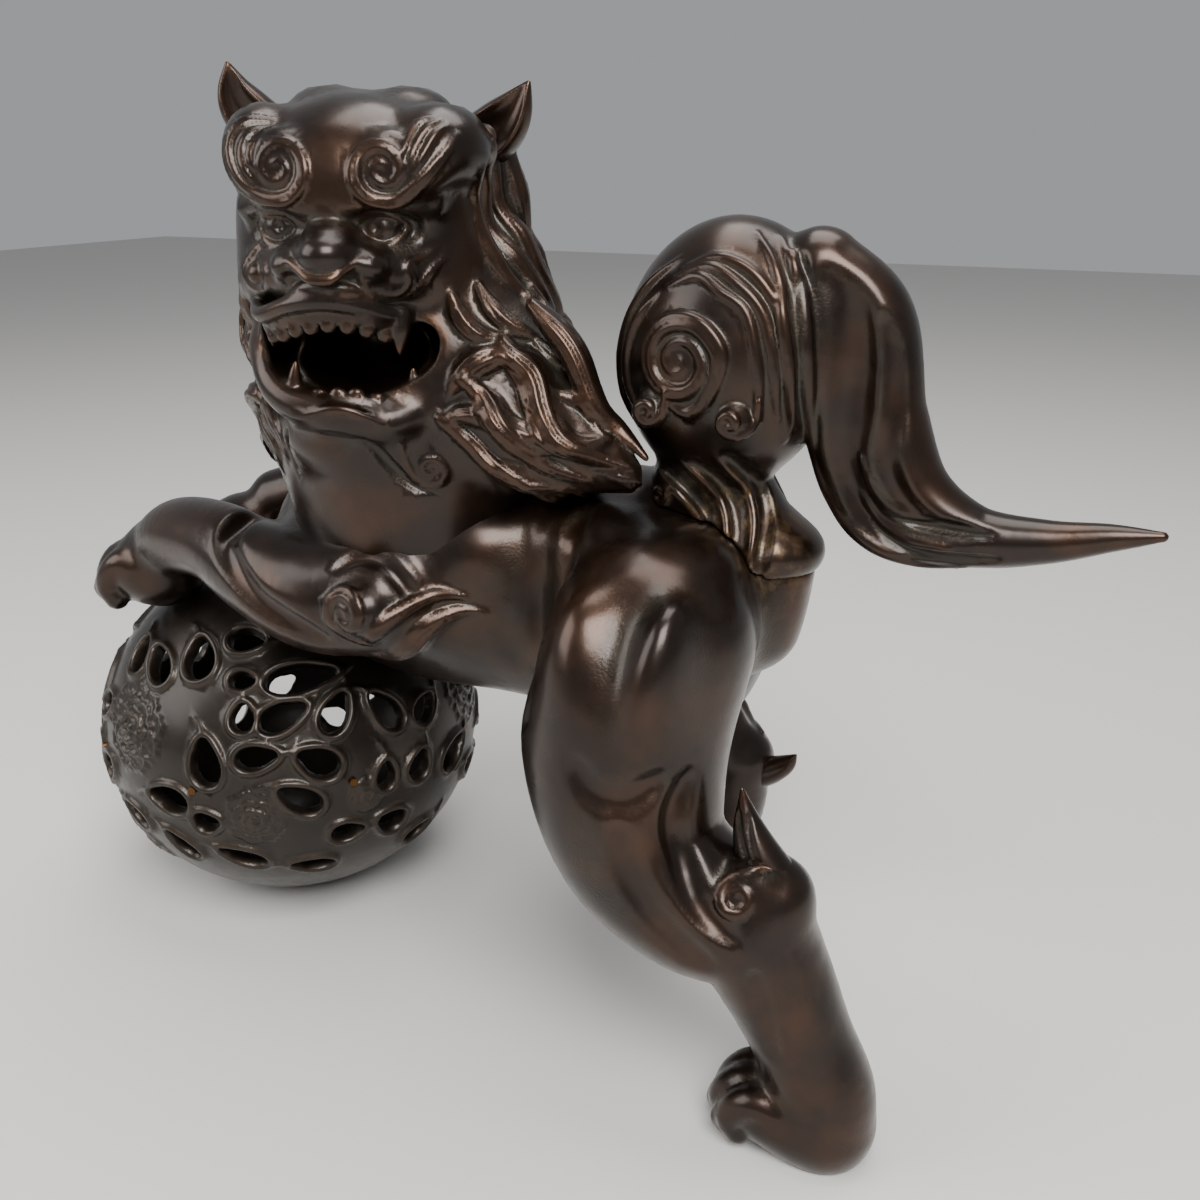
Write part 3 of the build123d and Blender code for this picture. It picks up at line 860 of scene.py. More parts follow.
@dataclass
class Body:
    """Torso and the four legs, sculpted as one and cut apart along the casting joints."""

    pitch: float = 1.0
    trunk: tuple[Point, ...] = ((38, 0, 154, 20), (48, 0, 153, 33), (64, 0, 151, 41), (84, 0, 151, 45),
                                (112, 0, 150, 43), (140, 0, 149, 42), (162, 0, 150, 40), (179, 0, 151, 31))

    def build(self) -> Clay:
        """Sculpts the body.

        Returns:
            The finished clay.
        """
        clay = Clay((-76, -88, -3), (266, 85, 204), self.pitch)
        clay.add(chain(self.trunk), 0)
        for limb in LIMBS:
            clay.add(chain(limb.stations), 13)
        self.muscles(clay)
        for limb in LIMBS:
            self.paw(clay, limb)
        for side in Side:
            self.shoulder(clay, side)
            self.haunch(clay, side)
        self.rump(clay)
        clay.carve(Egg(BALL_CENTRE, BALL_RADII + 0.25), 0)
        clay.cut((0, 0, 0), (0, 0, -1))
        return clay

    def muscles(self, clay: Clay) -> None:
        """Shallow swellings and hollows of a straining animal.

        Args:
            clay: what is shaped.
        """
        for s in (-1, 1):
            clay.add(Egg((62, s * 24, 168), (20, 16, 16)), 10)
            clay.add(Egg((112, s * 30, 168), (16, 14, 13)), 10)
            clay.add(Egg((158, s * 30, 172), (16, 15, 13)), 9)
            clay.add(Egg((186, s * 30, 170), (15, 14, 11)), 9)
            clay.carve(Egg((138, s * 60, 158), (7, 22, 26)), 12)
        clay.add(Egg((192, -66, 142), (10, 17, 30), turned(0, 8, 0)), 8)
        clay.add(Egg((172, -66, 142), (13, 16, 28), turned(0, -6, 0)), 8)
        clay.add(Egg((176, 63, 138), (10, 15, 28), turned(0, 8, 0)), 8)
        clay.add(Egg((156, 63, 136), (12, 14, 26), turned(0, -6, 0)), 8)

    def paw(self, clay: Clay, limb: Limb) -> None:
        """Paw with four rounded toes, each ending in a short claw.

        Args:
            clay: what is shaped.
            limb: the leg.
        """
        ahead = np.array([math.cos(math.radians(limb.heading)), math.sin(math.radians(limb.heading)), 0.0])
        aside = np.array([-ahead[1], ahead[0], 0.0])
        middle = np.array(limb.paw, float)
        front = limb.paw[2] > 100
        drop = 16 if front else 0
        clay.add(Egg(middle, (18, 17, 14.5 if front else 13), turned(limb.heading)), 6)
        clay.add(Egg(middle - ahead * 6 + np.array([0, 0, -2]), (12, 13, 11), turned(limb.heading)), 5)
        for place, reach, size in ((-11.4, 9, 5.6), (-4, 13, 6.4), (4, 13, 6.4), (11.4, 9, 5.6)):
            root = middle + aside * place
            lift = 3.5 if front else 5
            rows = [
                (*(root + ahead * (reach - 11) + (0, 0, lift)), size * 0.9),
                (*(root + ahead * (reach - 2) + (0, 0, lift + 0.5)), size),
                (*(root + ahead * (reach + 4) + (0, 0, lift - 6 - 0.1 * drop)), size * 0.95),
                (*(root + ahead * (reach + 2) + (0, 0, lift - 11 - 0.15 * drop)), size * 0.8),
            ]
            clay.add(chain(rows, 1.5), 1.2)
            claw = [
                (*(root + ahead * (reach + 7.5) + (0, 0, lift - 5 - 0.1 * drop)), 2.4),
                (*(root + ahead * (reach + 9) + (0, 0, lift - 9 - 0.1 * drop)), 2.0),
                (*(root + ahead * (reach + 7) + (0, 0, lift - 14 - 0.1 * drop)), 0.6),
            ]
            clay.add(chain(claw, 1), 0.6)

    def shoulder(self, clay: Clay, side: Side) -> None:
        """Curl on the elbow with two flames behind it, and the crease in front of the shoulder.

        Args:
            clay: what is shaped.
            side: flank that is worked on.
        """
        board = flank(side)
        s = side.value
        clay.add(Egg((88, s * 60, 151), (10, 8, 9.5)), 3)
        groove(clay, board, along(side, [(30, 178), (32, 168), (40, 160), (51, 151), (64, 145), (76, 139)]),
               5, 2.4, 3)
        groove(clay, board, along(side, [(78, 163), (84, 168), (94, 167), (102, 160), (106, 152)]), 3.5, 1.4,
               2)
        for path, width in (
            ([(88, 139), (94, 145), (101, 152), (109, 156), (118, 154)], (2, 5, 6, 4.5, 1)),
            ([(84, 132), (92, 133), (100, 138), (107, 146), (115, 150), (124, 149)], (2, 6, 8, 7, 4.5, 1)),
        ):
            Tress(along(side, path), width, 3, 0.22, 0.0, 0.5, 0.35).press(clay, board)
        start, hand = (200, 1) if side is Side.LEFT else (-20, -1)
        path = along(side, [(92, 140), (86, 141)]) + curl((-s * 86, 151.5), 8, 1.75, start, -hand, 0.12)
        Tress(path, (3, 5.4, 5, 3.6, 1.8), 2, 0.2, 0.1, 0.5).press(clay, board)

    def haunch(self, clay: Clay, side: Side) -> None:
        """Folds on the thigh and shank, and the curl of the hock.

        Args:
            clay: what is shaped.
            side: flank that is worked on.
        """
        board = flank(side)
        s = side.value
        shift = 0 if side is Side.LEFT else -18
        for path, size, depth, blend in (
            ([(152, 186), (150, 168), (149, 148), (150, 128)], 6, 2.2, 4),
            ([(174, 128), (180, 120), (190, 118), (200, 124)], 5, 0.9, 3.5),
            ([(188, 110), (193, 95), (203, 81), (216, 70)], 6, 2, 3),
            ([(204, 124), (203, 108), (211, 91), (223, 79)], 5, 1.8, 2.5),
            ([(228, 70), (232, 55), (234, 40)], 4, 1, 2.5),
        ):
            groove(clay, board, along(side, [(x + shift, z) for x, z in path]), size, depth, blend)
        spot, radius = ((221, 90), 6.2) if side is Side.LEFT else ((177, 66), 5)
        if side is Side.LEFT:
            clay.add(Egg((226, -61, 84), (13.5, 13, 13)), 6)
            clay.add(Egg((222, -68, 90), (8, 6, 9)), 3)
        else:
            clay.add(Egg((180, 58, 64), (10, 11, 10)), 6)
        start = 80
        path = curl((-s * spot[0], spot[1]), radius, 1.6, start, -s, 0.14)
        tail = [(spot[0] + 9, spot[1] + 8), (spot[0] + 4, spot[1] + 8.5)]
        Tress(along(side, tail) + path, (2, 4, 4, 3, 1.6), 2, 0.2, 0.1, 0.5).press(clay, board)

    def rump(self, clay: Clay) -> None:
        """Flat round seat for the tail, and the socket of its tenon.

        Args:
            clay: what is shaped.
        """
        clay.add(Tube(np.array([SEAT - SEAT_UP * 4, SEAT - SEAT_UP * 24]), np.array([12.8, 11.5])), 11)
        clay.cut_disc(SEAT - SEAT_UP * 0.3, SEAT_UP, 20)
        clay.carve(Tube(np.array([SEAT + SEAT_UP * 4, SEAT - SEAT_UP * 21]), np.array([TENON + 0.5] * 2)),
                   0.3)


# ---------------------------------------------------------------- splitting


def prism(plan: Sequence[Point], low: float, high: float) -> bpy.types.Object:
    """Upright prism over an anticlockwise plan, between two heights in millimetres.

    Args:
        plan: corners of the plan.
        low: height of the bottom in millimetres.
        high: height of the top in millimetres.

    Returns:
        The new object.
    """
    count = len(plan)
    corners = np.array([(x, y, z) for z in (low, high) for x, y in plan], float) * MM + FOOT
    faces = [tuple(range(count - 1, -1, -1)), tuple(range(count, 2 * count))]
    faces += [(i, (i + 1) % count, (i + 1) % count + count, i + count) for i in range(count)]
    mesh = bpy.data.meshes.new("prism")
    mesh.from_pydata(corners.tolist(), [], faces)
    return placed("prism", mesh)


def cut_with(piece: bpy.types.Object, cutter: bpy.types.Object, operation: str) -> None:
    """Applies one boolean to a piece.

    Args:
        piece: the mesh object; it is changed.
        cutter: what it is cut with.
        operation: INTERSECT or DIFFERENCE.
    """
    modifier = piece.modifiers.new("cut", "BOOLEAN")
    modifier.object, modifier.operation, modifier.solver = cutter, operation, "MANIFOLD"
    shape = bpy.data.meshes.new_from_object(piece.evaluated_get(bpy.context.evaluated_depsgraph_get()))
    piece.modifiers.clear()
    old, piece.data = piece.data, shape
    shape.name = piece.name
    bpy.data.meshes.remove(old)


def split_limbs(whole: bpy.types.Object) -> list[bpy.types.Object]:
    """Cuts the four limbs from the body; the torso keeps the rest.

    Args:
        whole: the body with its legs; it becomes the torso.

    Returns:
        The four legs.
    """
    limbs = []
    for limb in LIMBS:
        plan = limb.seam if turning(limb.seam) > 0 else limb.seam[::-1]
        cutter = prism(plan, -20, 260)
        piece = placed(limb.name + "_casting", whole.data.copy())
        cut_with(piece, cutter, "INTERSECT")
        cut_with(whole, cutter, "DIFFERENCE")
        bpy.data.objects.remove(cutter)
        limbs.append(piece)
    return limbs


def halves(whole: bpy.types.Object, height: float) -> tuple[bpy.types.Object, bpy.types.Object]:
    """Cuts a piece by a level plane and closes both halves.

    Args:
        whole: the piece; it becomes the upper half.
        height: height of the plane in millimetres.

    Returns:
        The upper and the lower half.
    """
    slab = prism([(-400, -400), (400, -400), (400, 400), (-400, 400)], -400, height)
    lower = placed("ball_lower_half_casting", whole.data.copy())
    cut_with(lower, slab, "INTERSECT")
    cut_with(whole, slab, "DIFFERENCE")
    bpy.data.objects.remove(slab)
    return whole, lower


@dataclass
class HockFlame:
    """Tongue of flame that stands up behind the hock."""

    side: Side
    pitch: float = 0.5

    def build(self) -> Clay:
        """Sculpts the flame.

        Returns:
            The finished clay.
        """
        if self.side is Side.LEFT:
            path = ((228, -61, 88, 8), (222, -61, 97, 6.6), (218.5, -60.5, 105, 4.4), (217, -60, 111, 2.3),
                    (216, -60, 116.5, 0.5))
            low, high = (212, -74, 76), (240, -48, 119)
        else:
            path = ((183, 58, 58, 7), (190, 57, 61, 5.5), (196, 56.5, 65, 3.6), (200, 56, 70, 0.5))
            low, high = (170, 44, 46), (206, 72, 74)
        clay = Clay(low, high, self.pitch)
        clay.add(chain(path, 1), 0)
        board = flank(self.side)
        spine = [(row[0], row[2]) for row in path[:-1]]
        groove(clay, board, along(self.side, [(x - 1.5, z + 1) for x, z in spine]), 1.6, 0.9, 0.6)
        groove(clay, board, along(self.side, [(x + 2, z) for x, z in spine]), 1.4, 0.7, 0.6)
        return clay


# ---------------------------------------------------------------- head


HEAD_CENTRE = np.array([74.0, -21.0, 258.0])
HEAD_TURN = 17.0
MANE_DRUM = Drum((82, -13, 0), 48, 270)


@dataclass
class Head:
    """Head, neck and mane. Places are (a, b, c): to the lion's left, forward from the face, and up."""

    pitch: float = 0.85
    neck: tuple[Point, ...] = ((80, -8, 168, 44), (82, -10, 190, 48), (82, -12, 212, 47.5),
                               (80, -13, 235, 44),
                               (78, -15, 262, 39))
    nape: tuple[Point, ...] = ((100, -16, 228, 33), (126, -23, 211, 24), (146, -27, 203, 15),
                               (164, -29, 197, 6))

    def spot(self, a: float, b: float, c: float) -> Array:
        """Place of a point of the head.

        Args:
            a: to the lion's left.
            b: forward from the face.
            c: up.

        Returns:
            The point.
        """
        turn = math.radians(HEAD_TURN)
        left = np.array([math.cos(turn), math.sin(turn), 0])
        front = np.array([math.sin(turn), -math.cos(turn), 0])
        return HEAD_CENTRE + a * left + b * front + np.array([0, 0, c])

    def egg(self, place: Point, radii: Point, yaw: float = 0, pitch: float = 0, roll: float = 0) -> Egg:
        """Egg in the head's frame, with radii across, along and up, turned about the head's own axes."""
        return Egg(self.spot(*place), radii, turned(HEAD_TURN + yaw, pitch, roll))

    def tube(self, stations: Sequence[Point], step: float = 1.5) -> Tube:
        """Tube in the head's frame, through stations of a, b, c and radius.

        Args:
            stations: rows of a, b, c and radius.
            step: distance between samples.

        Returns:
            The tube.
        """
        rows = spline(stations, step)
        points = np.array([self.spot(*row[:3]) for row in rows])
        return Tube(points, np.maximum(rows[:, 3], 0.2))

    def front(self) -> Board:
        """Board before the face."""
        turn = math.radians(HEAD_TURN)
        return Board(HEAD_CENTRE, (math.cos(turn), math.sin(turn), 0), (0, 0, 1))

    def masses(self, clay: Clay) -> None:
        """Skull, brow, muzzle, jaw, neck and the mane's bulk.

        Args:
            clay: what is shaped.
        """
        clay.add(chain(self.neck), 0)
        clay.add(chain(self.nape), 6)
        clay.add(self.egg((-28, -2, -42), (15, 22, 32)), 8)
        clay.add(self.egg((0, 1, 8), (43, 42, 38)), 8)
        clay.add(self.egg((1, 17, 20), (34, 31, 27)), 5)
        clay.add(self.egg((-10, 6, 40), (13, 15, 9.5)), 4)
        clay.add(self.egg((14, 4, 40), (14, 15, 9)), 4)
        clay.add(self.egg((28, 22, 31), (15, 18, 13)), 4)
        clay.add(self.egg((-24, 24, 31), (12, 17, 13)), 4)
        # cheeks and upper jaw
        clay.add(self.egg((0, 33, -3), (26, 18, 12)), 5)
        clay.add(self.egg((24, 14, -4), (12, 20, 13)), 6)
        clay.add(self.egg((-26, 14, -6), (12, 20, 13)), 6)
        # lower jaw, a horseshoe on a smooth bib
        clay.add(self.tube(((-31, 16, -20, 5), (-27, 30, -28, 5.5), (-18, 40, -39, 6), (0, 43.5, -44, 6.5),
                            (16, 39, -46, 6.5), (25, 28, -39, 6), (30, 12, -24, 5))), 3)
        clay.add(self.egg((0, 25, -52), (25, 20, 17)), 5)
        clay.add(self.egg((4, 20, -64), (21, 16, 8)), 5)

    def brow(self, clay: Clay) -> None:
        """Two scrolls of brow hair over deep eyes.

        Args:
            clay: what is shaped.
        """
        clay.add(self.egg((17, 39, 26), (11, 6.5, 10.5)), 2.5)
        clay.add(self.tube(((19, 39, 20, 4.5), (26, 37, 24, 7), (31, 32, 30, 7.5), (35, 26, 34, 5))), 3)
        clay.add(self.egg((-13, 39.5, 26.5), (11, 6.5, 10.5)), 2.5)
        clay.add(self.tube(((-16, 40, 19.5, 4.5), (-23, 38, 24, 5.5), (-27, 35, 31, 5), (-24, 34, 37, 3.5))),
                 2.5)
        # the overhang below them
        clay.add(self.tube(((-27, 33, 15, 4), (-14, 42, 15, 3.5), (1, 42, 17, 4), (15, 42, 15, 3.5),
                            (28, 33, 17, 4))), 3)
        board = self.front()
        right = [(37.6, 35.6), (35.4, 31.5), (32.2, 27), (28.4, 22.4), (24, 18.8)]
        left = [(-16.5, 38.5), (-22.5, 39), (-28, 36), (-29.5, 31), (-28.4, 26), (-24.5, 20.3)]
        right += curl((17.2, 25.6), 9.4, 1.7, -72, -1, 0.14)
        left += curl((-12.8, 26.2), 9.6, 1.7, -108, 1, 0.14)
        for path in (right, left):
            Tress(path, (2.2, 4.6, 4.6, 3.2, 1.8), 2, 0.16, 0.1, 0.4).press(clay, board)
        for path in (
            [(35.6, 37.8), (32.4, 36.2), (30, 32), (27.6, 27.5), (25.4, 23.5)],
            [(33.5, 38.8), (29.2, 37), (27, 33), (25.2, 28.5), (24.4, 25)],
            [(31, 39.6), (26.4, 38.4), (24.2, 35), (23.8, 31.5), (22.8, 29)],
            [(-18.5, 37), (-22.8, 35), (-24.6, 31), (-23.6, 26), (-20.4, 22)],
            [(-19.2, 34.6), (-21.4, 31.5), (-21.4, 27.5), (-19.5, 24.5)],
        ):
            Tress(path, (0.8, 2.2, 2.4, 2.2, 0.9), 1, 0.3, 0.2, 0.5).press(clay, board)
        clay.add(Egg(self.spot(37.6, 27.5, 35.8), (2.6, 2.6, 2.6)), 0.8)
        clay.carve(self.egg((42, 10, 14), (6, 12, 13)), 6)
        clay.carve(self.egg((-43, 10, 14), (5, 12, 13)), 6)

    def eyes(self, clay: Clay) -> None:
        """Eyeballs in deep sockets, with a ring of lid under each.

        Args:
            clay: what is shaped.
        """
        clay.carve(self.tube(((-24, 38, 9.5, 3.5), (-16, 44, 9.8, 5.2), (-7, 47, 9, 3.6))), 2.5)
        clay.carve(self.tube(((23, 38, 9.5, 3.5), (14, 44, 9.8, 5.2), (7, 47, 9, 3.6))), 2.5)
        for a, out in ((-15.8, -1), (13.8, 1)):
            clay.add(self.egg((a, 37.5, 9.6), (5.4, 4.4, 4.8)), 0.6)
            clay.add(self.tube(((a + out * 7.5, 35, 9.5, 1), (a + out * 4.5, 39.2, 5.6, 1.3),
                                (a, 41.4, 4.4, 1.4),
                                (a - out * 4.5, 41.6, 6.2, 1.3), (a - out * 7.5, 41, 9.8, 1))), 0.8)
            clay.add(self.tube(((a + out * 7.5, 35, 10, 1), (a + out * 4, 39.8, 13.6, 1.3),
                                (a, 41.2, 14.4, 1.4),
                                (a - out * 4.5, 41.4, 13, 1.2), (a - out * 7.5, 41, 9.8, 1))), 0.8)
            clay.carve(self.egg((a - out * 0.3, 42, 9.8), (1.6, 1.4, 1.6)), 0.5)

    def muzzle(self, clay: Clay) -> None:
        """Broad nose with curling wings, cheek curls and the hatched upper lip.

        Args:
            clay: what is shaped.
        """
        clay.add(self.egg((1, 43, 13.5), (5.5, 4.5, 2.8)), 1.2)
        clay.add(self.egg((1.5, 46, 8), (8, 7, 4)), 2)
        clay.add(self.egg((0.8, 45, 2), (16, 8.5, 6)), 2.5)
        clay.add(self.egg((2, 50.5, 3), (8.6, 9.6, 6.8)), 3.5)
        for a, out in ((-10, -1), (12, 1)):
            clay.add(self.egg((a, 47, -0.3), (6.5, 6.5, 5)), 2)
            clay.carve(self.egg((a - out * 0.5, 53.5, -4.2), (3, 3.6, 2.6)), 1)
        clay.add(self.tube(((-14.6, 46, -4.5, 1.2), (-13.4, 49.5, -1, 1.3), (-9, 53, 1.1, 1.3),
                            (-4.6, 56, -1, 1.3),
                            (-1, 57.8, -3.2, 1.5), (5, 57.8, -3.2, 1.5), (7.6, 55.6, -1, 1.3),
                            (11.6, 52.4, 1.1, 1.3), (15.6, 48.4, -1, 1.3), (16.6, 45, -4.5, 1.2))), 1)
        board = self.front()
        for a in (-23.5, 17.5):
            clay.add(self.egg((a, 33.5, -3.5), (6.8, 7, 7)), 2)
            clay.add(self.egg((a, 39.8, -3.5), (3.3, 3, 3.3)), 0.6)
        ring = curl((-23.5, -3.5), 6.2, 0.95, 112, 1, 0.8)
        Tress([(-20.5, 4.6), (-24.5, 5.2)] + ring, (1.5, 3.4, 3.4, 3, 1.2),
              2, 0.2, 0.1, 0.5).press(clay, board)
        ring = curl((17.5, -3.5), 6.2, 0.85, 100, 1, 0.98)
        Tress(ring + [(25.4, 1), (28.4, 3.4)], (1.2, 3, 3.4, 3.4, 1.2),
              2, 0.2, 0.1, 0.5).press(clay, board)
        Tress([(20.5, -10.4), (25.4, -6.4), (28, -1.6), (31.4, 1.4)], (1, 3, 3, 1),
              2, 0.2, 0.1, 0.5).press(clay, board)
        # moustache, hatched across
        clay.add(self.tube(((-11, 48.5, -8.8, 1.2), (-5, 51.5, -6.4, 2.2), (1.5, 52.5, -6, 2.4),
                            (8, 50.5, -7, 2),
                            (12, 47, -9, 1.2))), 1)
        for a in np.arange(-9, 11, 1.8):
            clay.carve(self.tube(((a, 56 - 0.03 * a * a, -4, 0.5),
                                  (a + 0.6, 56.5 - 0.03 * a * a, -8.4, 0.5)), 1), 0.3)

    def mouth(self, clay: Clay) -> None:
        """Roaring mouth: lips, gums, teeth and fangs round an open hollow.

        Args:
            clay: what is shaped.
        """
        clay.carve(self.egg((3, 32, -27.5), (19.5, 34, 11.5)), 2)
        clay.carve(self.tube(((14, 44, -28, 8), (23, 30, -24, 7.5), (28, 14, -19, 6), (30, 0, -17, 3))), 2)
        clay.carve(self.tube(((-12, 44, -29, 7), (-22, 30, -24, 6), (-28, 14, -19, 5), (-30, 2, -17, 3))), 2)
        # upper lip, gum and teeth
        clay.add(self.tube(((-30, 22, -11.5, 1.6), (-28, 32, -13.5, 2.2), (-22.5, 41.5, -15, 2.6),
                            (-12, 48.5, -11.5, 2.8), (-3.7, 51.5, -9.7, 3), (3, 51.5, -9.7, 3),
                            (9.5, 48.5, -11.5, 2.8),
                            (16, 41.5, -14.6, 2.8), (22, 31, -13.5, 2.4), (27, 20, -11, 1.8))), 1.2)
        gum = ((-25, 33, -17, 2), (-19, 40.5, -18, 2.6), (-9, 46.5, -15, 2.9), (1, 48.5, -13.4, 3),
               (9, 46.5, -14.6, 2.9), (16, 39.5, -17.5, 2.6), (22, 29, -16, 2))
        clay.add(self.tube(gum), 1)
        rows = spline(gum, 0.5)
        for share in (0.14, 0.23, 0.32, 0.41, 0.50, 0.59, 0.68, 0.77):
            a, b, c, _ = rows[int(share * (len(rows) - 1))]
            clay.add(self.egg((a, b + 0.8, c - 3.2), (2.5, 1.9, 2.6)), 0.2)
        clay.add(self.tube(((18, 38.5, -15.5, 3.9), (18.6, 39.8, -20, 2.7), (18.2, 40.8, -25.8, 0.7))), 0.5)
        clay.add(self.tube(((-22, 37.5, -16.5, 3), (-21.6, 38.5, -20, 2), (-21, 39.3, -24.5, 0.6))), 0.5)
        # lower gum and teeth
        low = ((-22, 33, -33, 2), (-16, 41.5, -38.5, 2.2), (-6, 44.4, -39.6, 2.2), (4, 44.6, -39, 2.2),
               (13, 41.5, -41, 2.2), (21, 33, -38.5, 2), (25, 22, -32, 2))
        clay.add(self.tube(low), 1)
        rows = spline(low, 0.5)
        for share in (0.24, 0.33, 0.42, 0.51, 0.60, 0.69):
            a, b, c, _ = rows[int(share * (len(rows) - 1))]
            clay.add(self.egg((a, b, c + 2), (2.5, 1.8, 2)), 0.2)
        clay.add(self.tube(((-14.6, 42, -38, 2.6), (-14, 42.4, -33, 2), (-13.2, 42.6, -28.6, 0.7))), 0.5)
        clay.add(self.tube(((20.4, 36, -38, 2.2), (20.8, 36.5, -34, 1.6), (21, 37, -30.5, 0.6))), 0.5)
        # rolled lower lip
        clay.add(self.tube(((-31, 20, -16, 1), (-27.5, 31, -22, 1.4), (-24, 38, -30.5, 1.6),
                            (-20, 43, -38, 1.6),
                            (-15, 46, -42.6, 1.6), (-9, 48, -43.4, 1.6), (-2, 49.5, -41.4, 1.6),
                            (4, 49.5, -41.4, 1.6),
                            (10, 47.8, -44, 1.6), (16, 44.5, -47, 1.6), (21.5, 39, -45.6, 1.6),
                            (26.2, 31, -40, 1.6),
                            (29.4, 20, -31, 1.5), (31.4, 10, -22, 1.1))), 0.8)

    def beard(self, clay: Clay) -> None:
        """Smooth bib under the chin, its edges, and the curls beside it.

        Args:
            clay: what is shaped.
        """
        board = self.front()
        groove(clay, board, [(5, -50), (9.5, -53), (14, -60), (19, -65.5), (27, -68)], 2.2, 1.6, 0.8)
        groove(clay, board, [(-20, -50), (-22.5, -56), (-23, -62), (-20, -67.5)], 2, 1.2, 0.8)
        clay.carve(self.egg((-1, 49.5, -52), (7, 4, 2.4)), 3)
        clay.add(self.egg((25, 19, -61), (7.5, 6.5, 7.5)), 2)
        Tress([(17.5, -51.5), (18, -57)] + curl((25.2, -61), 6.6, 1.5, 175, 1, 0.16),
              (1.4, 3.4, 3.2, 2.2, 1.4), 2,
              0.15, 0.1, 0.4).press(clay, board)
        for path, width in (
            ([(-29, -40), (-33, -46), (-31, -53), (-27, -57), (-27.5, -66)], (1.5, 6, 7, 6, 1.5)),
            ([(-36, -42), (-39.5, -49), (-37, -56), (-33, -61), (-33, -70)], (1.5, 6, 7, 6, 1.5)),
            ([(-35, -6), (-39, -14), (-38, -24), (-34.5, -30), (-36, -38)], (2, 7, 8, 6, 1.5)),
            ([(-41, -10), (-44, -22), (-43, -31), (-40, -38)], (2, 6, 6, 1.5)),
        ):
            Tress(path, width, 3, 0.12, 0.1, 0.5).press(clay, board)

    def mane(self, clay: Clay) -> None:
        """Flame locks and curls round the neck.

        Args:
            clay: what is shaped.
        """
        drum = MANE_DRUM
        board = flank(Side.LEFT)
        flames = (
            ([(36, 219), (40, 225.5), (46, 230.5), (52, 231), (59, 227)], (1, 7, 9, 6, 1)),
            ([(33, 210), (39, 214.5), (46, 213.5), (52, 208), (58, 205.5), (67, 209)], (1, 6.5, 8, 7, 5, 1)),
            ([(43, 201), (50, 198.5), (56, 192.5), (64, 187), (74, 185.5)], (1, 6, 7.5, 6, 1)),
            ([(56, 222), (62, 219), (67, 213), (73, 211)], (1, 6, 6, 1)),
            ([(60, 238), (63, 231), (69, 226), (77, 226)], (2, 7, 7, 1)),
            ([(60, 199), (66, 195), (71, 190), (80, 189)], (1, 6, 6, 1)),
            ([(50, 252), (52, 244), (57, 238), (64, 236)], (3, 7, 6, 1)),
            ([(40, 250), (41.5, 243), (46, 237), (54, 236)], (3, 7, 6, 1)),
        )
        long_locks = (
            ([(60, 292), (66, 280), (69, 266), (76, 254), (86, 240)], (4, 9, 10, 8, 2)),
            ([(52, 284), (56, 268), (61, 256), (70, 245)], (3, 7, 8, 2)),
            ([(78, 284), (82, 268), (86, 254), (96, 238), (98, 224)], (5, 10, 11, 9, 3)),
        )
        for mirrored in (1, -1):
            for path, width in flames:
                Tress([(mirrored * a, z) for a, z in path], width, 3, 0.2, 0.0, 0.5, 0.35).press(clay, drum)
        for path, width in long_locks:
            Tress(path, width, 4, 0.18, 0.0, 0.5, 0.3).press(clay, drum)
        for row, (top, drop, shift) in enumerate(((294, 36, 0), (266, 36, 7), (238, 36, 0))):
            for k in range(11):
                a = 96 + 14 * k + shift
                swing = 3.5 if row % 2 else -3.5
                Tress([(a - swing, top), (a + swing, top - drop * 0.4), (a, top - drop * 0.8),
                       (a - swing, top - drop),
                       (a - 2 * swing, top - drop - 3)], (4, 13, 12, 7, 1.5), 4, 0.16, 0.0, 0.5,
                      0.3).press(clay, drum)
        Tress(curl((70, 245), 5.5, 1.3, 60, -1, 0.3), (3, 3, 2.4, 1.4), 2, 0.2, 0, 0.4, 0.4).press(clay, drum)
        for path, width in (
            ([(128, 236), (138, 226), (144, 214), (151, 207), (159, 203), (169, 199)], (4, 9, 9, 8, 6, 1.5)),
            ([(134, 246), (147, 234), (153, 222), (158, 213), (165, 207), (172, 201)], (4, 8, 8, 7, 5, 1.5)),
            ([(120, 226), (130, 216), (138, 206), (147, 199), (158, 195)], (4, 8, 8, 6, 1.5)),
            ([(112, 214), (121, 206), (129, 198), (139, 193), (150, 192)], (3, 7, 7, 5, 1.5)),
        ):
            Tress(path, width, 4, 0.18, 0.0, 0.5, 0.3).press(clay, board)

    def build(self) -> Clay:
        """Sculpts the head.

        Returns:
            The finished clay.
        """
        clay = Clay((14, -90, 158), (178, 46, 312), self.pitch)
        self.masses(clay)
        self.brow(clay)
        self.eyes(clay)
        self.muzzle(clay)
        self.mouth(clay)
        self.mane(clay)
        self.beard(clay)
        for side, path in EARS.items():
            (a, b, c, r), (a2, b2, c2, _) = path[:2]
            clay.add(self.tube([(a, b - 1, c, r), ((a + a2) / 2, (b + b2) / 2 - 3.5, (c + c2) / 2,
                                                   0.75 * r)]), 6)
        clay.carve(Egg(BALL_CENTRE, BALL_RADII + 0.4), 0)
        return clay


EARS = {
    Side.LEFT: ((34, -4, 32, 9), (41, -1, 37, 8), (46, 1, 42, 5.5), (51, 3, 49.5, 0.8)),
    Side.RIGHT: ((-33, -4, 34, 9), (-39, -1, 41, 8), (-42, 1, 47, 5.5), (-43, 3, 55.5, 0.8)),
}


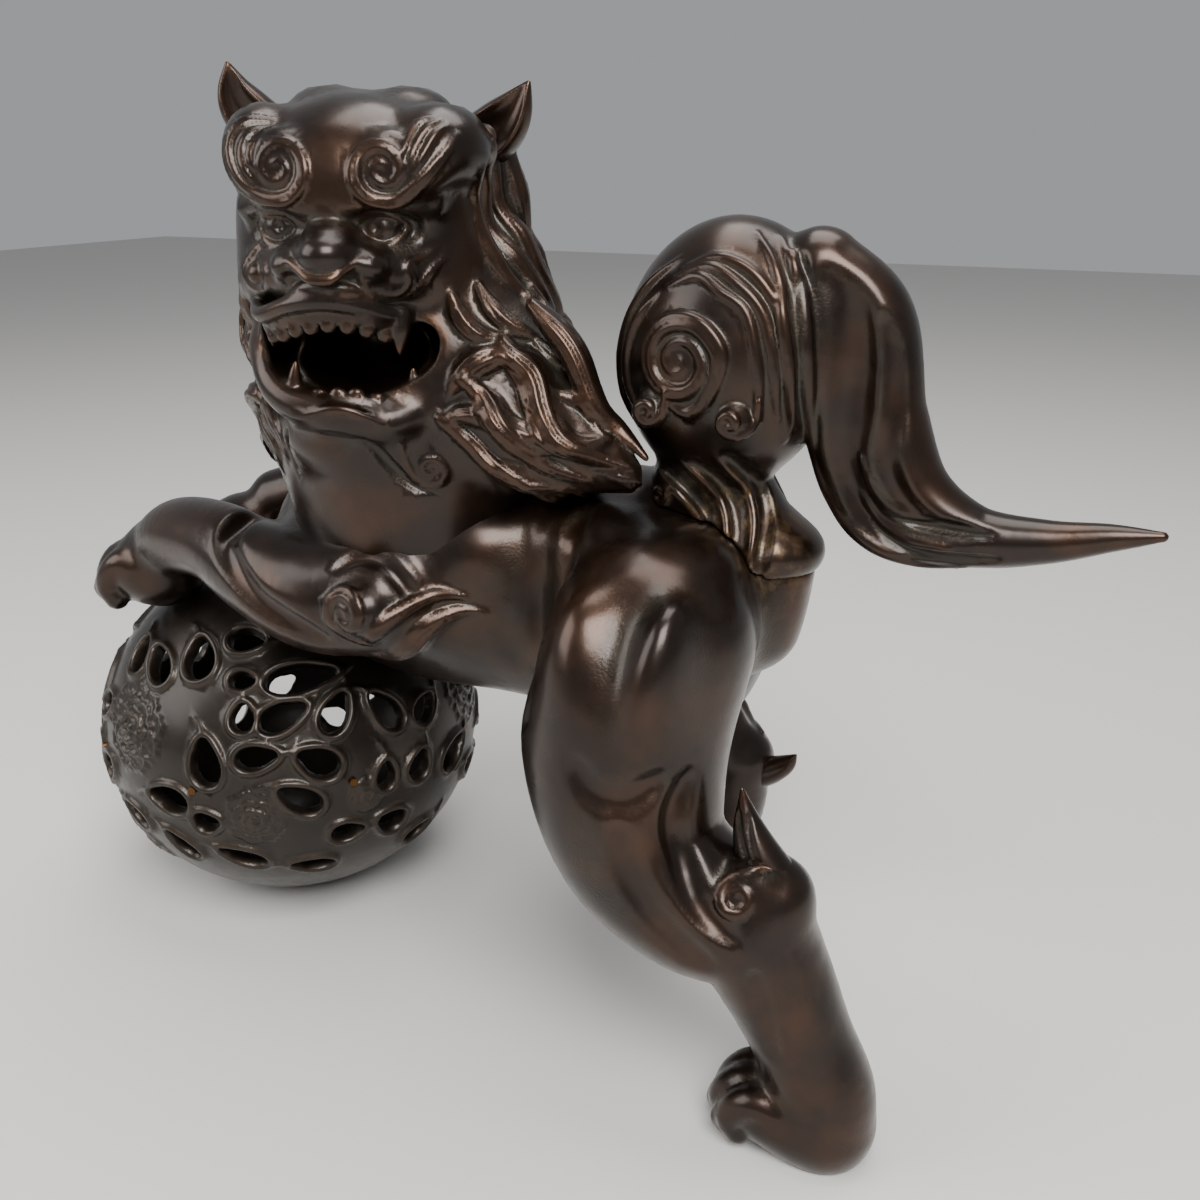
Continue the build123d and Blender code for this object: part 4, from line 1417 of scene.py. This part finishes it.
@dataclass
class Ear:
    """Pointed ear, hollow to the front."""

    side: Side
    head: Head
    pitch: float = 0.55

    def build(self) -> Clay:
        """Sculpts the ear.

        Returns:
            The finished clay.
        """
        path = EARS[self.side]
        places = np.array([self.head.spot(*row[:3]) for row in path])
        clay = Clay(places.min(axis=0) - 12, places.max(axis=0) + 12, self.pitch)
        clay.add(self.head.tube(path, 1), 0)
        out = -self.side.value
        hollow = [(a - out * 1.2, b + 0.95 * r + 0.8, c, 0.78 * r + 0.3) for a, b, c, r in path]
        clay.carve(self.head.tube(hollow, 1), 0.8)
        return clay


# ---------------------------------------------------------------- tail


@dataclass
class Tail:
    """Plume tail: a swirl of curls, and a long lock that falls behind it and lifts at the tip.

    Its root sits over the rump, so it is made after the body.
    """

    rump: Clay
    pitch: float = 0.8

    def build(self) -> Clay:
        """Sculpts the tail.

        Returns:
            The finished clay.
        """
        clay = Clay((146, -40, 134), (320, 40, 280), self.pitch)
        clay.add(chain(((192, 0, 160, 17), (192, 0, 176, 16.5), (187, 0, 192, 14), (186, 0, 206, 20))), 0)
        clay.add(Egg((190, 0, 168), (22, 24, 20), turned(0, 12, 0)), 4)
        clay.add(Egg((178, 0, 188), (15, 20, 13), turned(0, 38, 0)), 5)
        clay.add(Egg((205, 0, 171), (15, 17, 10), turned(0, 10, 0)), 6)
        plume = ((208, 250, 13, 21), (225, 234, 13, 22), (233, 208, 12, 20), (243, 189, 10.5, 16),
                 (262, 181.5, 9, 11.5), (284, 182.5, 6.5, 7), (302, 186, 4, 4), (315, 188, 1.5, 1.5))
        for x, z, thick, wide in spline(plume, 1.2):
            reach = max(wide - thick, 0.1)
            bend = np.interp(x, (205, 233, 262, 315), (0.9, 0.35, 1.45, 1.5))
            off = np.array([math.sin(bend), 0, math.cos(bend)]) * reach
            ends = np.array([(x, 0, z) - off, (x, 0, z) + off])
            clay.add(Tube(ends, np.array([thick, thick], float)), 0)
        clay.add(Egg((187, 0, 230), (34, 29, 41), turned(0, 8, 0)), 3)
        for side in Side:
            self.swirl(clay, side)
            self.plume(clay, side)
            self.root(clay, side)
        clay.fit_over(self.rump, 0.4)
        clay.add(Tube(np.array([SEAT + SEAT_UP * 4, SEAT - SEAT_UP * 17.5]), np.array([TENON, TENON])), 0.3)
        clay.carve(Tube(np.array([SEAT - SEAT_UP * 12, SEAT - SEAT_UP * 40]), np.array([6.0, 6.0])), 0.5)
        return clay

    def swirl(self, clay: Clay, side: Side) -> None:
        """Great spiral with strands that sweep round it, and two small curls below.

        Args:
            clay: what is shaped.
            side: flank that is worked on.
        """
        board = flank(side)
        s = side.value
        sweep = [(213, 214), (212, 232), (208, 246), (200, 256), (189, 260), (178, 256)]
        for shift, width in ((0, 3.4), (4.2, 3.2), (8.4, 3.0)):
            path = [(x - shift * (1 if x > 195 else 0.5), z - shift * (0.6 if x < 205 else 0)) for x,
                    z in sweep]
            Tress(along(side, path), (1.2, width, width, width, width, 1.2), 1, 0.25, 0.35, 0.8).press(clay,
                                                                                                       board)
        for path in (
            [(164, 208), (158, 217), (157, 229), (161, 242), (168, 252), (178, 260)],
            [(167, 212), (162, 221), (161, 231), (165, 242), (172, 250)],
            [(197, 267), (204, 259), (209, 247), (212, 230), (212, 214), (209, 207)],
            [(203, 266), (210, 256), (214, 243), (216, 228), (215.5, 212)],
        ):
            Tress(along(side, path), (1, 3, 3.4, 3.4, 3, 1), 1, 0.25, 0.3, 0.8).press(clay, board)
        path = along(side, [(176, 223), (180, 217), (185, 216), (190, 221), (193.5, 230)])
        hand = -s
        path += curl((-s * 181, 231), 13, 2.1, 20 if side is Side.LEFT else 160, hand, 0.1)
        Tress(path, (2, 4, 6, 6.4, 5.6, 4, 2.4, 1.6), 2, 0.2, 0.2, 0.5).press(clay, board)
        for spot, size, start in (((171, 216), 4.6, 150), ((198, 215), 5, 190)):
            clay.add(Egg((spot[0], s * (24 if spot[0] < 180 else 26), spot[1]), (5, 4, 5)), 2)
            sweep = [(spot[0] + size + 2, spot[1] + 7), (spot[0] + size + 1, spot[1] + 2)]
            turn = curl((-s * spot[0], spot[1]), size, 1.3, -20 if side is Side.LEFT else 200, s, 0.2)
            Tress(along(side, sweep) + turn, (1.5, 3.2, 3.2, 2.6, 1.6), 1, 0.3, 0.1, 0.5).press(clay, board)

    def plume(self, clay: Clay, side: Side) -> None:
        """Long valleys and ridges down the falling lock.

        Args:
            clay: what is shaped.
            side: flank that is worked on.
        """
        board = flank(side)
        for path, size, depth, blend in (
            ([(219, 257), (227, 247), (229, 232), (228, 216), (227, 202), (232, 190), (241, 182), (254, 178)],
             8, 5, 4),
            ([(211, 262), (214, 250), (216.5, 236), (216, 218), (217, 204)], 2.6, 1.8, 1.5),
            ([(236, 246), (240, 234), (241, 218), (239, 205), (243, 194), (252, 186), (266, 184)], 5, 2.4,
             2.5),
            ([(233, 200), (238, 192), (246, 187), (259, 185.5), (272, 185)], 2.4, 1.6, 1),
            ([(234, 190), (239, 183), (248, 177), (263, 176), (274, 178)], 2.4, 1.4, 1),
        ):
            groove(clay, board, along(side, path), size, depth, blend)
        for path, width in (
            ([(208, 262), (212, 252), (214.5, 240), (215.5, 226), (215.5, 212), (217, 201), (223, 188),
              (234, 178),
              (250, 172.5), (264, 173.5)], (2, 4, 4.4, 4, 4, 4, 4, 4, 3, 1)),
            ([(231, 205), (236, 195), (243, 189), (255, 187)], (1, 3.4, 3.6, 1)),
            ([(232, 193), (238, 185), (247, 180.5), (260, 179.5)], (1, 3.4, 3.6, 1)),
        ):
            Tress(along(side, path), width, 1, 0.2, 0.3, 1.2).press(clay, board)

    def root(self, clay: Clay, side: Side) -> None:
        """Leaf that wraps the root, with its curl and slanting folds.

        Args:
            clay: what is shaped.
            side: flank that is worked on.
        """
        board = flank(side)
        for path in (
            [(194, 204), (200, 194), (205, 182), (206, 166)],
            [(182, 201), (190, 194), (197, 183), (200, 168)],
            [(172, 196), (180, 192), (189, 182), (194, 168)],
        ):
            groove(clay, board, along(side, path), 3, 1.6, 1.5)
            ridge = [(x - 3.4, z - 1) for x, z in path]
            Tress(along(side, ridge), (1, 3, 3, 1), 1, 0.3, 0.2, 1).press(clay, board)
        turn = curl((-side.value * 172, 188), 4, 1.2, 60, side.value, 0.25)
        Tress(turn, (1.6, 2.6, 2.2, 1.4), 1, 0.3, 0.1, 0.6).press(clay, board)


# ---------------------------------------------------------------- ball


@dataclass(frozen=True)
class Leaf:
    """Leaf-shaped window of the ball: where it is, its half length and half width, and its tilt, in
    degrees.
    """

    azimuth: float
    height: float
    length: float
    width: float
    tilt: float


LEAVES = (
    Leaf(-86, 43, 8.5, 5.5, 114), Leaf(-68, 50, 6.5, 4.5, 0), Leaf(-47, 37, 13, 5, 4),
    Leaf(-67, 37, 4.5, 3, 0),
    Leaf(-66, 26, 5, 4, 95), Leaf(-54, 26, 9, 4.5, 22), Leaf(-38, 25, 8, 4.5, 55), Leaf(-77, 12, 9, 5.5, 98),
    Leaf(-90, -2, 8.5, 5, 175), Leaf(-62, 14, 7.5, 4, 8), Leaf(-45, 11, 8, 5, 150),
    Leaf(-51, 0, 8.5, 4.5, 148),
    Leaf(-78, -8, 5, 4, 10), Leaf(-90, -20, 8, 4, 130), Leaf(-70, -22, 9, 4, 155),
    Leaf(-49, -28, 8, 3.5, 170),
    Leaf(-38, -15, 6, 4, 0), Leaf(-24, -16, 6.5, 5, 150), Leaf(-14, 1, 6, 4.5, 60),
    Leaf(-26, 2, 5.5, 3.5, 80),
    Leaf(-22, 22, 8.5, 4.5, 120), Leaf(-8, 18, 6.5, 4, 30), Leaf(-117, 38, 7.5, 4.5, 117),
    Leaf(-103, 38, 8.5, 4.5, 140),
    Leaf(-122, -2, 8.5, 5, 30), Leaf(-108, -14, 7, 4.5, 150), Leaf(-10, -28, 7, 4.5, 20),
)


@dataclass
class Ball:
    """Openwork ball in two halves: peonies and leaves, pierced between the stems."""

    pitch: float = 0.9
    wall: float = 4.4

    def spot(self, azimuth: float, height: float, out: float = 0.0) -> Array:
        """Point on the ball, some millimetres out from its surface.

        Args:
            azimuth: degrees round the ball from +X.
            height: degrees above its middle.
            out: millimetres out from the surface.

        Returns:
            The point.
        """
        a, h = math.radians(azimuth), math.radians(height)
        unit = np.array([math.cos(h) * math.cos(a), math.cos(h) * math.sin(a), math.sin(h)])
        return BALL_CENTRE + unit * (BALL_SKIN + out)

    def frame(self, azimuth: float, height: float, tilt: float) -> Array:
        """Axes at a point of the ball: along the tilt, across it, and outward.

        Args:
            azimuth: degrees round the ball from +X.
            height: degrees above its middle.
            tilt: degrees from level.

        Returns:
            The axes, one row each.
        """
        a, t = math.radians(azimuth), math.radians(tilt)
        outward = (self.spot(azimuth, height) - BALL_CENTRE) / BALL_RADII**2
        outward = outward / np.linalg.norm(outward)
        east = np.array([-math.sin(a), math.cos(a), 0.0])
        north = np.cross(outward, east)
        first = math.cos(t) * east + math.sin(t) * north
        return np.array([first, np.cross(outward, first), outward])

    def drop(self, points: Array, out: float) -> Array:
        """Points moved straight in or out to lie on the ball's surface."""
        unit = (points - BALL_CENTRE) / BALL_RADII
        return BALL_CENTRE + unit / np.linalg.norm(unit, axis=1, keepdims=True) * (BALL_SKIN + out)

    def leaf(self, clay: Clay, leaf: Leaf, cut: bool) -> None:
        """Adds a leaf's raised rim and veins, or cuts its window.

        Args:
            clay: what is shaped.
            leaf: the leaf.
            cut: whether the window is cut; otherwise the rim and stem are added.
        """
        axes = self.frame(leaf.azimuth, leaf.height, leaf.tilt)
        centre = self.spot(leaf.azimuth, leaf.height)
        if cut:
            for shift, length, width in ((-0.15, 0.82, 1.0), (0.42, 0.58, 0.56)):
                radii = (length * leaf.length, width * leaf.width, 16)
                clay.carve(Egg(centre + axes[0] * shift * leaf.length, radii, axes), 0.8)
            return
        turn = np.linspace(0, 2 * np.pi, 33)
        rim = np.stack([np.cos(turn), np.sin(turn)], axis=1)
        width = (leaf.width + 1.3) * (1 - 0.28 * rim[:, :1])
        ring = centre + (leaf.length + 1.5) * rim[:, :1] * axes[0] + width * rim[:, 1:] * axes[1]
        clay.add(Tube(self.drop(ring, 0.5), np.full(33, 1.25)), 1)
        stem = np.linspace(0, 1, 9)[:, None]
        swing = axes[0] * (leaf.length + 1) + axes[0] * stem * 7 + axes[1] * stem**2 * 4
        clay.add(Tube(self.drop(centre + swing, 0.4), np.linspace(1.3, 0.5, 9)), 1)

    def peony(self, clay: Clay, azimuth: float, height: float, size: float) -> None:
        """Peony in relief: rings of frilled petals round a knob.

        Args:
            clay: what is shaped.
            azimuth: degrees round the ball from +X.
            height: degrees above its middle.
            size: radius of the flower.
        """
        axes = self.frame(azimuth, height, 20)
        centre = self.spot(azimuth, height)
        clay.add(Egg(centre, (0.16 * size, 0.16 * size, 2.2), axes), 1)
        for share, petals, lift in ((0.34, 5, 1.0), (0.64, 7, 0.5), (0.94, 9, 0.1)):
            for k in range(petals):
                middle = 2 * np.pi * (k + share) / petals
                t = np.linspace(-1, 1, 15)
                angle = middle + t * 0.92 * np.pi / petals
                radius = size * share * (1 + 0.16 * (1 - t**2) + 0.05 * np.cos(9 * t))
                across, along_up = radius * np.cos(angle), radius * np.sin(angle)
                rim = centre + across[:, None] * axes[0] + along_up[:, None] * axes[1]
                clay.add(Tube(self.drop(rim, lift), np.full(15, 0.9)), 0.6)
                vein = np.linspace(0.62, 0.98, 5)[:, None] * size * share
                line = centre + vein * (math.cos(middle) * axes[0] + math.sin(middle) * axes[1])
                clay.add(Tube(self.drop(line, lift - 0.4), np.full(5, 0.7)), 0.5)

    def build(self) -> Clay:
        """Sculpts the whole ball.

        Returns:
            The finished clay.
        """
        clay = Clay(BALL_CENTRE - (77, 77, 70), BALL_CENTRE + (77, 77, 70), self.pitch)
        clay.add(Egg(BALL_CENTRE, BALL_SKIN), 0)
        leaves = []
        for turn in (0, 124, 242):
            for row in LEAVES:
                azimuth = (row.azimuth + turn + 180) % 360 - 180
                taken = [
                    other for other in leaves
                    if self.apart(other, azimuth, row.height) < (other.length + row.length) * 0.78 + 1.5
                ]
                if not taken or turn == 0:
                    leaves.append(Leaf(azimuth, row.height, row.length, row.width, row.tilt))
        for row in leaves:
            self.leaf(clay, row, False)
        for turn in (0, 124, 242):
            for azimuth, height, size in ((-106, 17, 15), (-64, -6, 10), (-32, -3, 6), (-116, -32, 9)):
                if turn == 0 or abs(height) < 30:
                    self.peony(clay, azimuth + turn, height, size)
        clay.carve(Egg(BALL_CENTRE, BALL_SKIN - self.wall), 0)
        for row in leaves:
            self.leaf(clay, row, True)
        clay.cut((0, 0, 0.05), (0, 0, -1))
        return clay

    def apart(self, leaf: Leaf, azimuth: float, height: float) -> float:
        """Distance between a leaf and another place on the ball."""
        return float(np.linalg.norm(self.spot(leaf.azimuth, leaf.height) - self.spot(azimuth, height)))


# ---------------------------------------------------------------- stage


def stage() -> None:
    """Pale floor, soft studio lights and the camera."""
    mesh = bpy.data.meshes.new("floor")
    mesh.from_pydata([(-3, -3, 0), (3, -3, 0), (3, 3, 0), (-3, 3, 0)], [], [(0, 1, 2, 3)])
    floor = bpy.data.objects.new("floor", mesh)
    bpy.context.scene.collection.objects.link(floor)
    # matt painted studio floor
    paint = bpy.data.materials.new("studio_floor_paint")
    paint.use_nodes = True
    shader = paint.node_tree.nodes["Principled BSDF"]
    shader.inputs["Base Color"].default_value = linear("c9c7c3")
    shader.inputs["Roughness"].default_value = 0.7
    mesh.materials.append(paint)
    for name, place, size, power, turn in (
        ("key_softbox", (0.55, -0.75, 1.05), 0.7, 26, (42, 0, 36)),
        ("fill_softbox", (-0.95, -0.75, 0.75), 0.9, 12, (58, 0, -52)),
        ("top_softbox", (0.05, 0.25, 1.25), 0.8, 12, (-8, 0, 0)),
    ):
        light = bpy.data.lights.new(name, "AREA")
        light.energy, light.size = power, size
        lamp = bpy.data.objects.new(name, light)
        lamp.location = place
        lamp.rotation_euler = tuple(math.radians(a) for a in turn)
        bpy.context.scene.collection.objects.link(lamp)
    world = bpy.data.worlds.new("studio")
    world.use_nodes = True
    world.node_tree.nodes["Background"].inputs["Color"].default_value = linear("c8cacd")
    world.node_tree.nodes["Background"].inputs["Strength"].default_value = 0.6
    bpy.context.scene.world = world
    lens = bpy.data.cameras.new("camera")
    lens.lens, lens.sensor_width = 37.5, 36
    lens.clip_start = 0.01
    camera = bpy.data.objects.new("camera", lens)
    camera.location = (0.1923, -0.364, 0.290)
    camera.rotation_euler = (math.radians(70), 0, math.radians(25))
    bpy.context.scene.collection.objects.link(camera)
    bpy.context.scene.camera = camera


FIXINGS = {
    "brass_fixing": TurnedMetal("turned_brass", "9c7a3c", 0.34),
    "iron_wedge": TurnedMetal("forged_iron", "4a4744", 0.55),
    "bronze_rivet": TurnedMetal("bronze_rivet_wire", "6a4a2c", 0.40),
}


def dress_fixings() -> None:
    """Gives the studs, nuts, washers, wedges and rivets their metals."""
    made = {slot: metal.material() for slot, metal in FIXINGS.items()}
    for piece in bpy.data.objects:
        for slot in piece.material_slots:
            if piece.name in frame["nodes"] and slot.material and slot.material.name in FIXINGS:
                slot.material = made[slot.material.name]


def main() -> None:
    """Builds every sub-assembly in order."""
    logging.basicConfig(level=logging.INFO, format="%(message)s")
    bronze = Patina("patinated_cast_bronze", crust_box=((0.075, -0.01, 0.175), (0.03, 0.03, 0.03))).material()
    greyer = Patina("patinated_cast_bronze_ball", base="201b17", warm="43362a", dust="403f39", roughness=0.42,
                    dustiness=0.9).material()
    coarse = 1.0
    head = Head(pitch=0.8 * coarse)
    trunk = Body(pitch=1.0 * coarse).build()
    for made, name, body, slot, material in (
        (head, "head", "statue", "body_bronze", bronze),
        (Ear(Side.LEFT, head, 0.55 * coarse), "left_ear", "statue", "body_bronze", bronze),
        (Ear(Side.RIGHT, head, 0.55 * coarse), "right_ear", "statue", "body_bronze", bronze),
        (HockFlame(Side.LEFT, 0.5 * coarse), "left_hock_flame", "statue", "body_bronze", bronze),
        (HockFlame(Side.RIGHT, 0.5 * coarse), "right_hock_flame", "statue", "body_bronze", bronze),
        (Tail(trunk, 0.8 * coarse), "tail", "tail_piece", "body_bronze", bronze),
    ):
        clay = made.build()
        piece = clay.skin(name + "_casting", HEAD_THINNING if made is head else THINNING)
        clay.normals_dust_and_highlight_masks(piece)
        finish_piece(piece, (name,), body, material)
    torso = trunk.skin("torso_casting", THINNING)
    for piece in [torso] + split_limbs(torso):
        trunk.normals_dust_and_highlight_masks(piece)
        finish_piece(piece, (piece.name.replace("_casting", ""),), "statue", bronze)
    clay = Ball(pitch=0.9 * coarse).build()
    whole = clay.skin("ball_upper_half_casting", BALL_THINNING)
    for piece, name in zip(halves(whole, BALL_CENTRE[2]), ("ball_upper_half", "ball_lower_half")):
        clay.normals_dust_and_highlight_masks(piece)
        finish_piece(piece, (name,), "statue", greyer)
    dress_fixings()
    stage()


if __name__ == "__main__":
    main()
